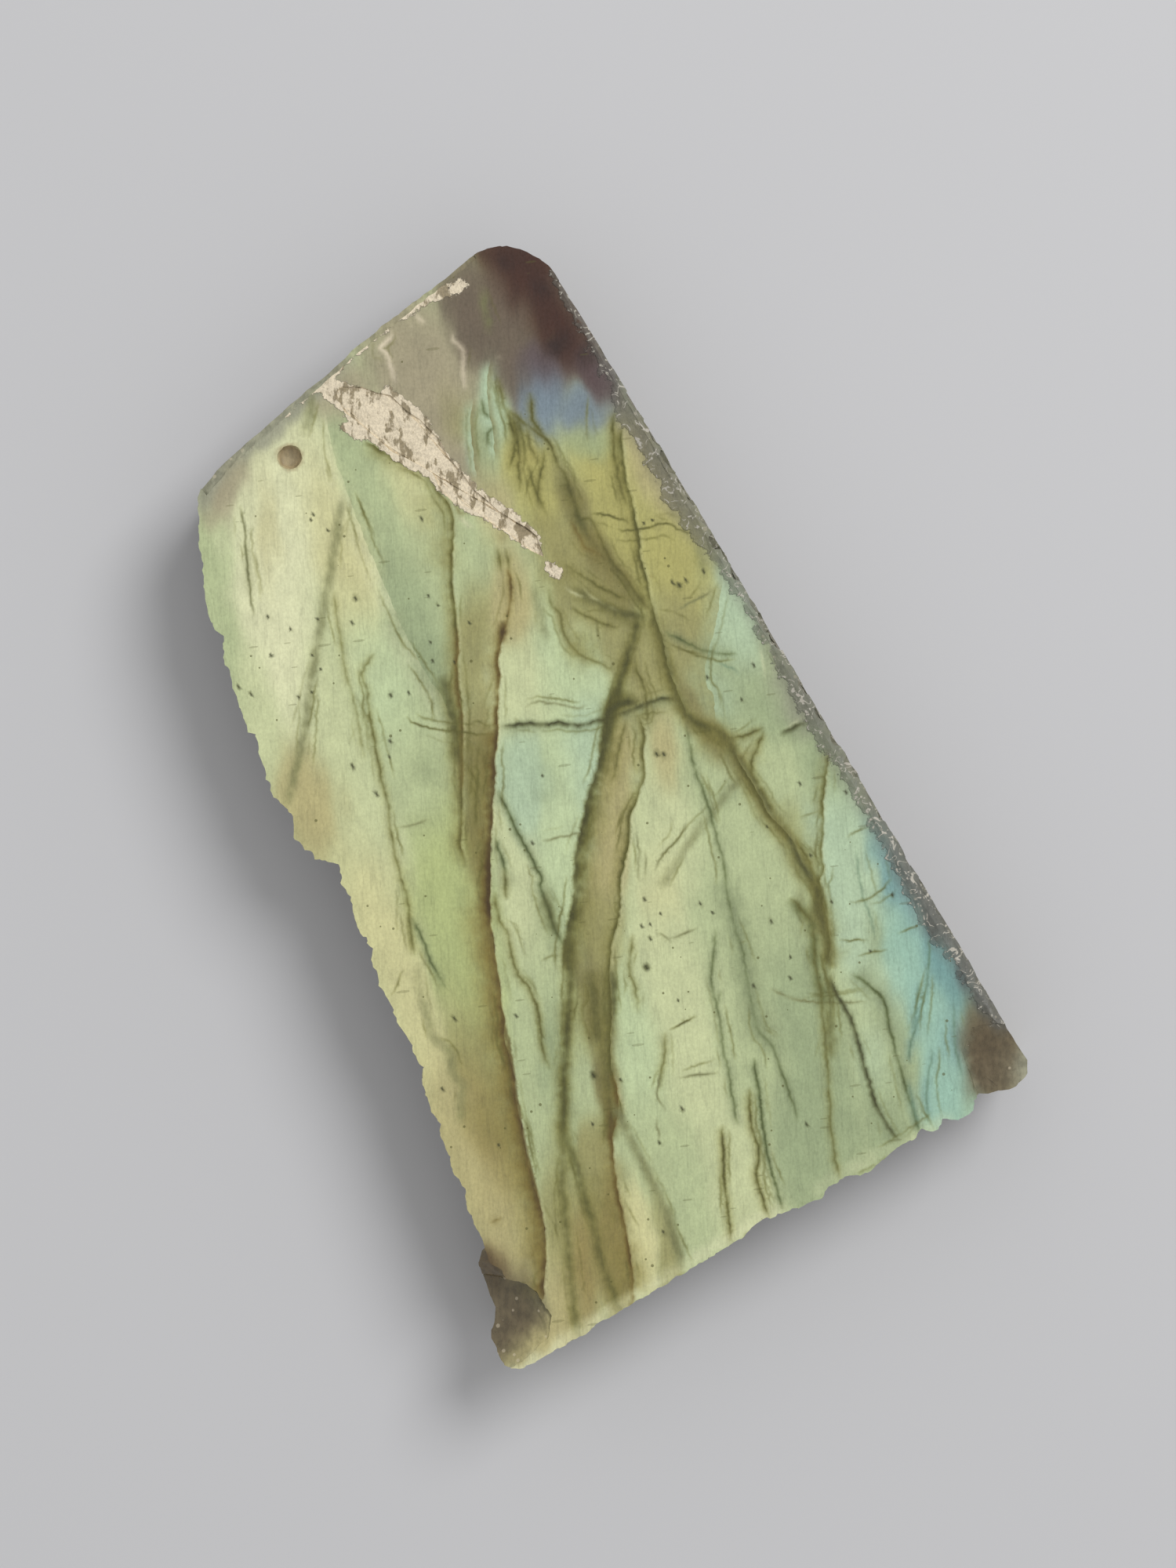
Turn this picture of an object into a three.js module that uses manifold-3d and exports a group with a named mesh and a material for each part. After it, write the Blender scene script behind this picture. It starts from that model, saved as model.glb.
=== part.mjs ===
// A flat offcut of labradorite: one slab of stone lying on its sawn back, polished face up.
// Lengths are in millimetres and +Z is up. The long sawn edge runs along Y on the +X side, and
// the narrow end points to +Y. The origin is on the back, under the middle of the slab.

import * as THREE from 'three';
import { mergeVertices } from 'three/addons/utils/BufferGeometryUtils.js';
import Module from 'manifold-3d';

// Driving dimensions
const THICKNESS = 6.5;
const SAWN_LEAN = 0.12;
const BREAK_UNDERCUT = 0.8;
const BREAK_LIP = 0.45;
const RIB_DEPTH = 0.16;
const RIBS_PER_MM = 5.2;
const RIB_SLANT = 0.9;
const LEDGE_RISE = 0.14;
const LEDGE_WANDER = 0.5;
const LEDGE_WANDER_WAVES = 11;
const LEDGE_COVER = 0.45;
const LEDGE_SHARPNESS = 1.1;
const LEDGES = [
  { depth: 1.5, step: 0.42, waves: 12, phase: 0.4 },
  { depth: 2.9, step: 0.5, waves: 17, phase: 2.1 },
  { depth: 4.4, step: 0.38, waves: 22, phase: 4.4 },
];
const BREAK_SPACING = 0.75;
const INWARD_STRETCH = 5;
const CORNER_RADIUS_X = 2.95;
const CORNER_RADIUS_Y = 3.4;
const CORNER_SEGMENTS = 7;
const PIT_RADIUS = 0.63;
const PIT_DEPTH = 0.34;
const CUTTER_HEIGHT = 1;

// The outline of the slab seen from above, read clockwise from the tip of the narrow end. Each
// point is [x, y], measured from a point near the middle of the face.
const NARROW_END = [
  [-5.2, 22.5], [-4, 22.9], [-2, 23.3], [0, 23.6], [2, 24], [3, 24.05], [5, 24.5],
  [7, 24.75], [9, 24.95], [11, 25.15],
];
const ROUND_CORNER_CENTRE = [13, 22];
const LONG_SAWN_EDGE = [
  [15.95, 14], [15.8, 0], [15.7, -12], [15.65, -18], [15.55, -21.7], [15.5, -22.5],
];
const ROUNDED_LOBE = [
  [15.55, -23.5], [15.6, -24.5], [15.3, -25.1], [14.5, -25.5], [13.5, -25.2], [12.4, -24.65],
];
const SHORT_BROKEN_EDGE = [
  [12.05, -24.75], [11.8, -25.15], [10.9, -25.15], [10.3, -24.7], [9.8, -25.05], [9.5, -25],
  [9.1, -24.55], [8.5, -24.85], [7.5, -24.7], [6.5, -24.85], [5.7, -25.05], [5.2, -24.95],
  [4.6, -24.65], [3.5, -24.6], [2.9, -24.9], [2.2, -24.8], [1.3, -24.65], [0.6, -24.4],
  [0.2, -24.5], [0, -24.3], [-0.8, -24.3], [-1.5, -24.5], [-4, -24.5], [-7, -24.5],
  [-10.6, -24.4], [-11, -24.5], [-14, -24.4],
];
const BROWN_CORNER = [
  [-14.8, -24.3], [-15.5, -23.8], [-15.45, -23.4], [-15.5, -22.85], [-15.25, -21.8],
  [-14.9, -20.8], [-14.6, -19.6], [-14, -18.6], [-13.5, -18.2],
];
const LONG_BROKEN_EDGE = [
  [-13.05, -18.1], [-12.95, -17.7], [-12.95, -17.2], [-12.9, -16.6], [-12.7, -15.6],
  [-12.35, -15], [-12.4, -14.8], [-12.35, -14.4], [-12.45, -14.05], [-12.4, -13.8],
  [-12.2, -13.2], [-12.15, -12.7], [-11.95, -11.8], [-11.7, -11.55], [-11.8, -10.75],
  [-11.65, -10.4], [-11.45, -9.4], [-10.95, -8.6], [-11.05, -8.1], [-10.85, -7.3],
  [-10.85, -6.8], [-10.9, -6.4], [-10.8, -5.6], [-10.65, -5], [-10.65, -4.3], [-10.7, -3.9],
  [-10.4, -3.15], [-10.45, -2.9], [-10.3, -2.5], [-10, -2.1], [-10.1, -1.7], [-10, -1.45],
  [-10.1, -1.3], [-10.05, -0.6], [-9.9, 0], [-9.55, 0.75], [-9.65, 1.55], [-9.4, 2],
  [-9.25, 2.45], [-9.7, 3], [-10.1, 3.35], [-10, 3.7], [-10.35, 4.05], [-10.35, 4.5],
  [-10.45, 4.7], [-10.35, 5], [-9.95, 5.8], [-9.95, 6.25], [-10.25, 7.2], [-10.2, 7.5],
  [-10, 7.85], [-10.1, 8.1], [-9.9, 8.6], [-9.75, 9.4], [-9.35, 10.35], [-9.6, 10.65],
  [-9.5, 11], [-9.35, 12], [-9.1, 13], [-8.85, 13.8], [-8.85, 14.2], [-8.7, 14.55],
  [-8.15, 15.5], [-8.35, 16], [-8.3, 16.5], [-8.1, 17.2], [-7.75, 18], [-7.1, 19.2],
  [-6.8, 20.1], [-6.2, 21], [-5.6, 22.2],
];

// Places where the polished face is broken away. Each point is [x, y, drop], and drop is how far
// the floor of the break lies under the polished face there.
const CHIPPED_MARGIN = [
  [15.75, 22, 0.02], [15.62, 20, 0.02], [15.6, 17, 0.02], [15.3, 14.6, 0.03], [15.35, 12.6, 0.03],
  [15.5, 11.2, 0.03], [15.3, 10, 0.03], [14.95, 9, 0.05], [15.3, 7.8, 0.03], [15.45, 6.9, 0.03],
  [15.1, 5.6, 0.05], [15.45, 4.6, 0.03], [15.4, 2.4, 0.03], [15.2, 1.2, 0.04], [15, -0.1, 0.05],
  [15.25, -1.6, 0.03], [15.35, -4.2, 0.03], [15.3, -6, 0.03], [15, -7.2, 0.05], [15.25, -8.2, 0.03],
  [15.1, -9.4, 0.04], [15.25, -11.2, 0.03], [14.95, -12.8, 0.05], [14.85, -14.2, 0.05],
  [14.55, -15.6, 0.06], [14.75, -17, 0.05], [15.1, -18.2, 0.04], [14.85, -20.3, 0.05],
  [15.2, -22, 0.05], [15.4, -23, 0.1], [17, -23, 0.9], [17, -18, 0.85], [17, -12, 0.9],
  [17, -6, 0.8], [17, 0, 0.85], [17, 6, 0.75], [17, 11, 0.8], [17, 15, 0.7], [17, 22, 0.7],
];
const NARROW_END_RIM = [
  [-5.1, 22.05, 0.02], [-3, 22.75, 0.02], [-0.6, 23.15, 0.02], [1, 23.5, 0.02], [3, 23.8, 0.02],
  [5.5, 24.25, 0.02], [9, 24.68, 0.02], [12.9, 25.15, 0.02], [13, 26.6, 0.55], [9, 26.2, 0.5],
  [3, 25.3, 0.5], [-2, 24.5, 0.5], [-5.4, 23.6, 0.5],
];
const BROWN_CORNER_BREAK = [
  [-13.7, -16.9, 2.9], [-13.06, -18.05, 1.5], [-13.3, -18.8, 0.9], [-12.9, -19.5, 0.9],
  [-13, -20, 1], [-12.4, -20.6, 0.85], [-12.15, -20.95, 0.6], [-12, -21.5, 0.3], [-12, -22.8, 0.14],
  [-12.7, -23.7, 0.05], [-14.5, -24.05, 0.1], [-16.2, -24, 0.35], [-16.6, -21.6, 1.7],
  [-15.8, -18, 3.1],
];
const LOBE_BREAK = [
  [15.05, -21.9, 0.03], [14, -21.5, 0.02], [12.9, -22.3, 0.02], [12.6, -23.6, 0.03],
  [12.3, -24.5, 0.12], [12.3, -26.2, 1], [14.6, -26.6, 1.5], [16.6, -25.9, 1.6], [16.8, -23.4, 0.9],
];

// The pale crust fills a shallow groove that crosses the face from the narrow end.
const CRUST_GROOVE = [
  [3.15, 23, 0.16], [3.1, 22, 0.2], [3.4, 21.2, 0.22], [3.8, 20, 0.2], [4.1, 19, 0.24],
  [4.5, 18.4, 0.2], [5, 17.6, 0.18], [5.3, 17, 0.2], [5.2, 16, 0.22], [5.4, 15.2, 0.2],
  [5.9, 14.6, 0.18], [6.3, 13.9, 0.2], [6.6, 13, 0.18], [7, 12.4, 0.2], [7.15, 11.8, 0.16],
  [7.5, 11, 0.18], [7.9, 10.4, 0.12], [8.15, 11.5, 0.14], [7.9, 12.2, 0.2], [7.6, 12.7, 0.22],
  [7.15, 13.6, 0.18], [7, 14.2, 0.2], [6.65, 15.2, 0.22], [6.6, 16.2, 0.2], [6.4, 17.3, 0.24],
  [6.5, 18.2, 0.2], [6.2, 19.6, 0.22], [5.8, 20.5, 0.2], [5.55, 21.5, 0.22], [5, 22, 0.18],
  [4.5, 22.65, 0.2], [3.6, 23.2, 0.14],
];
const PIT_CENTRE = [-0.5, 21.5];

// Shallow shells broken out of the walls. Each scoop is an ellipsoid: where its middle lies, how
// deep under the polished face, and how far it reaches along the wall, into it and in height.
const SCOOPS = [
  { at: [-12.9, -13.2], depth: 4.3, reach: [2.6, 1.2, 1.6], turn: 70 },
  { at: [-11.4, -5.2], depth: 3.1, reach: [2.2, 1.1, 1.3], turn: 84 },
  { at: [-10.2, 4.9], depth: 4.6, reach: [2.9, 1.3, 1.5], turn: 88 },
  { at: [-9.2, 14.6], depth: 3.4, reach: [2.3, 1, 1.4], turn: 72 },
  { at: [-6.4, 20.4], depth: 5.2, reach: [1.9, 0.9, 1.3], turn: 58 },
  { at: [-9, -24.7], depth: 3.6, reach: [2.7, 1, 1.5], turn: 0 },
  { at: [-1.6, -24.7], depth: 4.9, reach: [2.4, 1, 1.4], turn: 3 },
  { at: [6.2, -25.1], depth: 3.3, reach: [2.8, 1.1, 1.5], turn: -2 },
  { at: [14.6, -25.8], depth: 4.4, reach: [1.9, 1.1, 1.4], turn: 20 },
];

// Small chips knocked out of the long sawn edge where the saw left it brittle. Each chip is a
// little larger or smaller than the size here, and they are spaced unevenly about the pitch.
const EDGE_CHIPS = {
  size: [0.5, 0.62, 0.34],
  pitch: 1.35,
  firstY: -20.6,
  lastY: 15.2,
  x: 15.7,
  spreadX: 0.3,
  depth: 0.15,
  spreadDepth: 0.3,
  seed: 7,
};

// Colour and finish
const STONE_COLOUR = 0xb4bf96;
const STONE_ROUGHNESS = 0.32;

const wasm = await Module();
wasm.setup();

function seededRandom(seed) {
  let state = seed;
  return () => {
    state = (state * 1664525 + 1013904223) % 4294967296;
    return state / 4294967296;
  };
}

function toSolid(geometry) {
  const bare = geometry.index ? geometry.toNonIndexed() : geometry.clone();
  bare.deleteAttribute('normal');
  bare.deleteAttribute('uv');
  const merged = mergeVertices(bare, 1e-5);
  return new wasm.Manifold(new wasm.Mesh({
    numProp: 3,
    vertProperties: new Float32Array(merged.attributes.position.array),
    triVerts: new Uint32Array(merged.index.array),
  }));
}

function toGeometry(solid) {
  const mesh = solid.getMesh();
  const geometry = new THREE.BufferGeometry();
  geometry.setAttribute('position', new THREE.BufferAttribute(mesh.vertProperties, 3));
  geometry.setIndex(new THREE.BufferAttribute(mesh.triVerts, 1));
  geometry.computeVertexNormals();
  return geometry;
}

// The outline as one list of points, with the round corner of the narrow end as an arc.
function outlinePoints() {
  const path = new THREE.Path();
  path.moveTo(...NARROW_END[0]);
  NARROW_END.slice(1).forEach((point) => path.lineTo(...point));
  const [cornerX, cornerY] = ROUND_CORNER_CENTRE;
  path.absellipse(cornerX, cornerY, CORNER_RADIUS_X, CORNER_RADIUS_Y, Math.PI / 2, 0, true);
  const rest = [
    ...LONG_SAWN_EDGE, ...ROUNDED_LOBE, ...SHORT_BROKEN_EDGE, ...BROWN_CORNER, ...LONG_BROKEN_EDGE,
  ];
  rest.forEach((point) => path.lineTo(...point));
  return withoutLongGaps(path.getPoints(CORNER_SEGMENTS));
}

// Points are added along the straight stretches of the breaks, so that their walls can vary.
function withoutLongGaps(points) {
  return points.flatMap((point, index) => {
    const next = points[(index + 1) % points.length];
    const bothBroken = isBroken(point.x, point.y) && isBroken(next.x, next.y);
    const pieces = bothBroken ? Math.ceil(point.distanceTo(next) / BREAK_SPACING) : 1;
    return Array.from({ length: pieces }, (_, piece) => point.clone().lerp(next, piece / pieces));
  });
}

function isBroken(x, y) {
  const onShortEdge = y < -24 && x < 15.4;
  const onLongEdge = x < -5.3 && y < 22.3;
  return onShortEdge || onLongEdge;
}

// The direction into the stone at each point of the outline, taken over a stretch of the edge so
// that the small teeth of the break don't turn it.
function inwardDirections(outline) {
  const count = outline.length;
  return outline.map((_, index) => {
    const before = outline[(index - INWARD_STRETCH + count) % count];
    const after = outline[(index + INWARD_STRETCH) % count];
    return new THREE.Vector2(after.y - before.y, before.x - after.x).normalize();
  });
}

// How far the ledges above a depth set the wall back. Each ledge comes and goes along the wall.
// The way round the slab runs from 0 to 1.
function ledgeSetback(wayRound, depth) {
  const ledgesAbove = LEDGES.filter((ledge) => depth > ledge.depth);
  return ledgesAbove.reduce((setback, { step, waves, phase }) => {
    const wave = LEDGE_COVER + LEDGE_SHARPNESS * Math.sin(2 * Math.PI * waves * wayRound + phase);
    return setback + step * THREE.MathUtils.clamp(wave, 0, 1);
  }, 0);
}

// The rows of points on the walls rise and fall along the slab, most of all at half its height.
function wander(wayRound, depth) {
  const share = Math.sin((Math.PI * depth) / THICKNESS);
  return LEDGE_WANDER * share * Math.sin(2 * Math.PI * LEDGE_WANDER_WAVES * wayRound + depth);
}

// How far a wall stands back from the outline at a depth under the polished face.
function wallSetback(point, depth, along, wayRound) {
  if (!isBroken(point.x, point.y)) {
    return (SAWN_LEAN * depth) / THICKNESS;
  }
  const underLip = THREE.MathUtils.smoothstep(depth, BREAK_LIP, THICKNESS);
  const rib = 0.5 + 0.5 * Math.sin(RIBS_PER_MM * along + RIB_SLANT * depth);
  const ribShare = Math.min(1, depth / BREAK_LIP);
  return BREAK_UNDERCUT * underLip + RIB_DEPTH * rib * ribShare + ledgeSetback(wayRound, depth);
}

// The depth under the polished face of each row of points on the walls, with two close rows at
// each ledge.
function wallDepths() {
  const ledgeRows = LEDGES.flatMap(({ depth }) => [depth, depth + LEDGE_RISE]);
  return [0, BREAK_LIP, ...ledgeRows, THICKNESS];
}

// The distance along the outline to each of its points, and last the whole way round.
function distancesAlong(outline) {
  const distances = [0];
  outline.forEach((point, index) => {
    const next = outline[(index + 1) % outline.length];
    distances.push(distances[index] + point.distanceTo(next));
  });
  return distances;
}

// The slab before its chips and groove: the outline extruded down from the polished face, its
// walls leaning in towards the back.
function slabBlank() {
  const outline = outlinePoints();
  const inward = inwardDirections(outline);
  const distances = distancesAlong(outline);
  const depths = wallDepths();
  const places = new Map(outline.map((point, index) => [placeKey(point.x, point.y), index]));
  const geometry = new THREE.ExtrudeGeometry(new THREE.Shape(outline), {
    depth: depths.length - 1,
    steps: depths.length - 1,
    bevelEnabled: false,
  });
  const position = geometry.attributes.position;
  for (let vertex = 0; vertex < position.count; vertex += 1) {
    const x = position.getX(vertex);
    const y = position.getY(vertex);
    const depth = depths[depths.length - 1 - Math.round(position.getZ(vertex))];
    const index = places.get(placeKey(x, y));
    const along = distances[index];
    const wayRound = along / distances[outline.length];
    const setback = wallSetback(outline[index], depth, along, wayRound);
    const height = THICKNESS - depth - wander(wayRound, depth);
    position.setXYZ(vertex, x + inward[index].x * setback, y + inward[index].y * setback, height);
  }
  return toSolid(geometry);
}

function placeKey(x, y) {
  return `${x.toFixed(3)} ${y.toFixed(3)}`;
}

// A cutter whose floor passes through the listed points and that is open upwards.
function cutterWithFloor(points) {
  const shape = new THREE.Shape(points.map(([x, y]) => new THREE.Vector2(x, y)));
  const drops = new Map(points.map(([x, y, drop]) => [placeKey(x, y), drop]));
  const geometry = new THREE.ExtrudeGeometry(shape, { depth: CUTTER_HEIGHT, bevelEnabled: false });
  const position = geometry.attributes.position;
  for (let vertex = 0; vertex < position.count; vertex += 1) {
    const isFloor = position.getZ(vertex) < CUTTER_HEIGHT / 2;
    const drop = drops.get(placeKey(position.getX(vertex), position.getY(vertex)));
    position.setZ(vertex, isFloor ? THICKNESS - drop : THICKNESS + CUTTER_HEIGHT);
  }
  return toSolid(geometry);
}

function scoopCutter({ at, depth, reach, turn }) {
  const shell = new THREE.IcosahedronGeometry(1, 2);
  shell.scale(...reach);
  shell.rotateZ(THREE.MathUtils.degToRad(turn));
  shell.translate(...at, THICKNESS - depth);
  return toSolid(shell);
}

function pitCutter() {
  const bowl = new THREE.SphereGeometry(1, 20, 10);
  bowl.rotateX(Math.PI / 2);
  bowl.scale(PIT_RADIUS, PIT_RADIUS, PIT_DEPTH);
  bowl.translate(...PIT_CENTRE, THICKNESS);
  return toSolid(bowl);
}

function edgeChipCutters() {
  const random = seededRandom(EDGE_CHIPS.seed);
  const between = (low, high) => low + (high - low) * random();
  const cutters = [];
  let y = EDGE_CHIPS.firstY;
  while (y < EDGE_CHIPS.lastY) {
    const chip = new THREE.IcosahedronGeometry(1, 0);
    chip.rotateX(between(0, Math.PI));
    chip.rotateZ(between(0, Math.PI));
    chip.scale(...EDGE_CHIPS.size.map((size) => size * between(0.7, 1.3)));
    const x = EDGE_CHIPS.x + between(0, EDGE_CHIPS.spreadX);
    const depth = EDGE_CHIPS.depth + between(0, EDGE_CHIPS.spreadDepth);
    chip.translate(x, y, THICKNESS - depth);
    cutters.push(toSolid(chip));
    y += EDGE_CHIPS.pitch * between(0.6, 1.4);
  }
  return cutters;
}

function labradoriteSlab() {
  const breaks = [CHIPPED_MARGIN, NARROW_END_RIM, BROWN_CORNER_BREAK, LOBE_BREAK, CRUST_GROOVE];
  const cutters = [
    ...breaks.map(cutterWithFloor),
    ...SCOOPS.map(scoopCutter),
    ...edgeChipCutters(),
    pitCutter(),
  ];
  const solid = cutters.reduce((stone, cutter) => stone.subtract(cutter), slabBlank());
  const geometry = toGeometry(solid);
  geometry.computeBoundingBox();
  const { min, max } = geometry.boundingBox;
  geometry.translate(-(min.x + max.x) / 2, -(min.y + max.y) / 2, -min.z);
  const material = new THREE.MeshStandardMaterial({
    color: STONE_COLOUR,
    roughness: STONE_ROUGHNESS,
    metalness: 0,
  });
  const mesh = new THREE.Mesh(geometry, material);
  mesh.name = 'labradorite_slab';
  return mesh;
}

const stone = new THREE.Group();
stone.add(labradoriteSlab());

export default stone;
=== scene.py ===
"""The look of a flat offcut of labradorite that lies polished face up on its sawn back.

Marks on the polished face are placed in millimetres, measured from a point near its middle, with
+Y towards the narrow end. Everything else is in metres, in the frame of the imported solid.
"""

import math
from collections import namedtuple

import bmesh
import bpy
import numpy as np
from mathutils import Matrix, Vector, noise
from mathutils.geometry import delaunay_2d_cdt
from mathutils.kdtree import KDTree


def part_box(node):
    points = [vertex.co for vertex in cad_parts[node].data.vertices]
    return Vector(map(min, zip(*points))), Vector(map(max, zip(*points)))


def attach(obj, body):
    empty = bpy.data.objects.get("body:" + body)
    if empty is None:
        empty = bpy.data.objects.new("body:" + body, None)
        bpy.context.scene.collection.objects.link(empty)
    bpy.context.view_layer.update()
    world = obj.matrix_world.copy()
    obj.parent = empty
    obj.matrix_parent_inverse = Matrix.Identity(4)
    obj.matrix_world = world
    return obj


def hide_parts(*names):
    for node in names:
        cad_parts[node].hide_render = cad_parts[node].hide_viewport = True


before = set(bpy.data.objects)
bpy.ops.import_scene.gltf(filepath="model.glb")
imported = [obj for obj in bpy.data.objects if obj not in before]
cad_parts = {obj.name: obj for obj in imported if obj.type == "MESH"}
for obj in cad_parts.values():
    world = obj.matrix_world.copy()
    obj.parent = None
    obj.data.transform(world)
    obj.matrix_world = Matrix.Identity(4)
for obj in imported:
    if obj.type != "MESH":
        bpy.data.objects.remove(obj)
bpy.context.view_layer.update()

bl_info = {
    "name": "Labradorite slab",
    "version": (1, 0, 0),
    "blender": (4, 5, 0),
    "location": "View3D > Sidebar > Labradorite",
    "description": "Makes a flat labradorite offcut and the stage it lies on",
    "category": "Add Mesh",
}

NODE = "labradorite_slab"
PIECE = "labradorite_stone"
MM = 0.001
MARKS_CENTRE = np.array([-0.2566, -0.0217])
LOW, HIGH = (np.array(corner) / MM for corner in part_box(NODE))

# Mesh fineness and tolerances, in millimetres
RIM_SAMPLE = 0.04
FLAT = 1e-4
WELD = 1e-3
SHARP_ANGLE = math.radians(38)
SPLIT_PASSES = 8
RIM_SHARE = 0.35
CRUST_FILL = 0.6
CRUST_DEPTH = 0.6
CHIPPED_DEPTH = 0.9
FINE_PLACES_BESIDE_LINE = (-0.26, -0.11, 0.11, 0.26)
THINNING = 0.092
LINE_TAPER = 0.7
LINE_JITTER = 0.035
COVER_STEP = 0.25
CHIPPED_REACH = 1.0
CRUST_REACH = 0.45
BROWN_REACH = 0.7
PIT_SOFTNESS = 0.06
CORNER_INSET = 0.03
FOLLOWER_EVERY = 2.0
FOLLOWED_LENGTH = 2.5
SEED = 11

# How steeply a stroke fades past its width, and how many of its widths out it is still laid
FADE_POWER = 2.6
STROKE_REACH = 2.6

# Turns a place so that its second coordinate runs along the plates of the stone
PLATE_LEAN = math.radians(28)
ALONG_PLATES = np.array([
    [math.cos(PLATE_LEAN), math.sin(PLATE_LEAN)], [-math.sin(PLATE_LEAN), math.cos(PLATE_LEAN)],
])

# How dark the floor's darkest places are, beside its palest
FLOOR_SHADE = 0.97

# The key light and the camera, in metres and, for the sensor, in millimetres
KEY_SIZE = 0.35
KEY_PLACE = (0.42, 0.1, 0.5)
SENSOR_WIDTH = 36

# Materials, in the order of their slots on the stone
POLISHED, BROKEN, SAWN, CRUST = range(4)

# A stroke is a colour laid along a line. It fades to half its strength at these distances from
# the line, on the left and on the right of a line drawn down the face. A width of 0 is a crisp side.
Stroke = namedtuple("Stroke", "colour strength left right")

# Each kind of line is laid as its strokes, from the widest to the narrowest.
LINE_KINDS = {
    "main vein": [
        Stroke("straw_brown", 0.5, 1.0, 0),
        Stroke("brown", 0.75, 0.5, 0),
        Stroke("dark_brown", 0.8, 0.16, 0.03),
        # Cream on the crisp right side is a painted highlight along the vein
        Stroke("cream", 0.25, 0, 0.12),
    ],
    "dark stretch": [
        Stroke("brown", 0.5, 0.3, 0.05),
        Stroke("dark_brown", 0.9, 0.13, 0.04),
    ],
    "dark blob": [
        Stroke("brown", 0.7, 0.3, 0.2),
        Stroke("dark_brown", 1.0, 0.17, 0.12),
    ],
    "brown vein": [
        Stroke("straw_brown", 0.45, 0.6, 0),
        Stroke("brown", 0.9, 0.16, 0.04),
        # Cream on the crisp right side is a painted highlight along the vein
        Stroke("cream", 0.25, 0, 0.12),
    ],
    "olive edge": [
        Stroke("olive_brown", 0.5, 0.5, 0),
        Stroke("dark_olive", 0.95, 0.13, 0.05),
        # Cream on the crisp right side is a painted highlight along the edge
        Stroke("cream", 0.25, 0, 0.14),
    ],
    "olive band": [
        Stroke("olive_brown", 0.5, 0.5, 0.4),
        Stroke("dark_olive", 0.8, 0.26, 0.22),
        Stroke("deep_olive", 0.4, 0.1, 0.1),
    ],
    "band edge": [
        Stroke("olive_brown", 0.65, 0.06, 1.0),
        Stroke("dark_olive", 0.8, 0.1, 0.42),
        Stroke("deep_olive", 0.5, 0.08, 0.16),
    ],
    "green band": [
        Stroke("grey_green", 0.45, 0.46, 0.44),
        Stroke("dark_green", 0.7, 0.22, 0.2),
    ],
    "vein shade": [Stroke("straw_brown", 0.6, 1.1, 0)],
    "deep shade": [Stroke("dark_olive", 0.7, 0.42, 0.25), Stroke("deep_olive", 0.6, 0.18, 0.14)],
    "wide green shade": [Stroke("grey_green", 0.45, 0.6, 0.6)],
    "wide olive shade": [Stroke("olive_brown", 0.5, 0.8, 0.7)],
    "wide brown shade": [Stroke("straw_brown", 0.45, 0.8, 0.7)],
    "olive line": [
        Stroke("olive_brown", 0.4, 0.28, 0.22),
        Stroke("dark_olive", 0.95, 0.085, 0.075),
    ],
    "brown line": [
        Stroke("straw_brown", 0.4, 0.3, 0.25),
        Stroke("brown", 0.95, 0.085, 0.07),
    ],
    "green line": [
        Stroke("grey_green", 0.4, 0.28, 0.24),
        Stroke("dark_green", 0.95, 0.085, 0.075),
    ],
    "soft grey line": [Stroke("grey_olive", 0.5, 0.24, 0.2)],
    "faint line": [Stroke("grey_olive", 0.7, 0.065, 0.065)],
    "hair crack": [Stroke("dark_olive", 0.8, 0.055, 0.055)],
    "dark crack": [
        Stroke("grey_green", 0.5, 0.4, 0.14),
        Stroke("deep_olive", 0.95, 0.11, 0.08),
    ],
    # Painted glints: thin cream lines, and a cream side, standing for light caught on cleavage edges
    "pale line": [Stroke("cream", 0.6, 0.07, 0.07)],
    "pale edge": [Stroke("cream", 0.5, 0, 0.4)],
    # A painted highlight: a pale strip where the rim catches the light
    "pale strip": [Stroke("cream", 0.5, 0.35, 0.35)],
    "lens edge": [Stroke("cream", 0.45, 0.7, 0), Stroke("sage", 0.4, 0, 1.1)],
    "zone edge": [Stroke("khaki", 0.5, 1.1, 0), Stroke("mint", 0.5, 0, 1.0)],
    "sliver edge": [Stroke("mint", 0.7, 0.36, 0), Stroke("olive", 0.5, 0, 0.22)],
    "rust blot": [Stroke("dark_rust", 0.8, 0.45, 0.4)],
    "crust fleck": [Stroke("crust_light", 0.85, 0.11, 0.11)],
    "teal line": [Stroke("dark_teal", 0.6, 0.07, 0.07)],
    "teal crack": [Stroke("sea", 0.4, 0.25, 0.2), Stroke("dark_teal", 0.85, 0.08, 0.07)],
    "follower": [Stroke("dark_olive", 0.6, 0.05, 0.05)],
}

# The body of the stone: soft patches of colour, each a long oval on the face. The lean turns the
# oval's length from +Y towards +X, in degrees.
Patch = namedtuple("Patch", "colour at half_width half_length lean strength")

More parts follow.
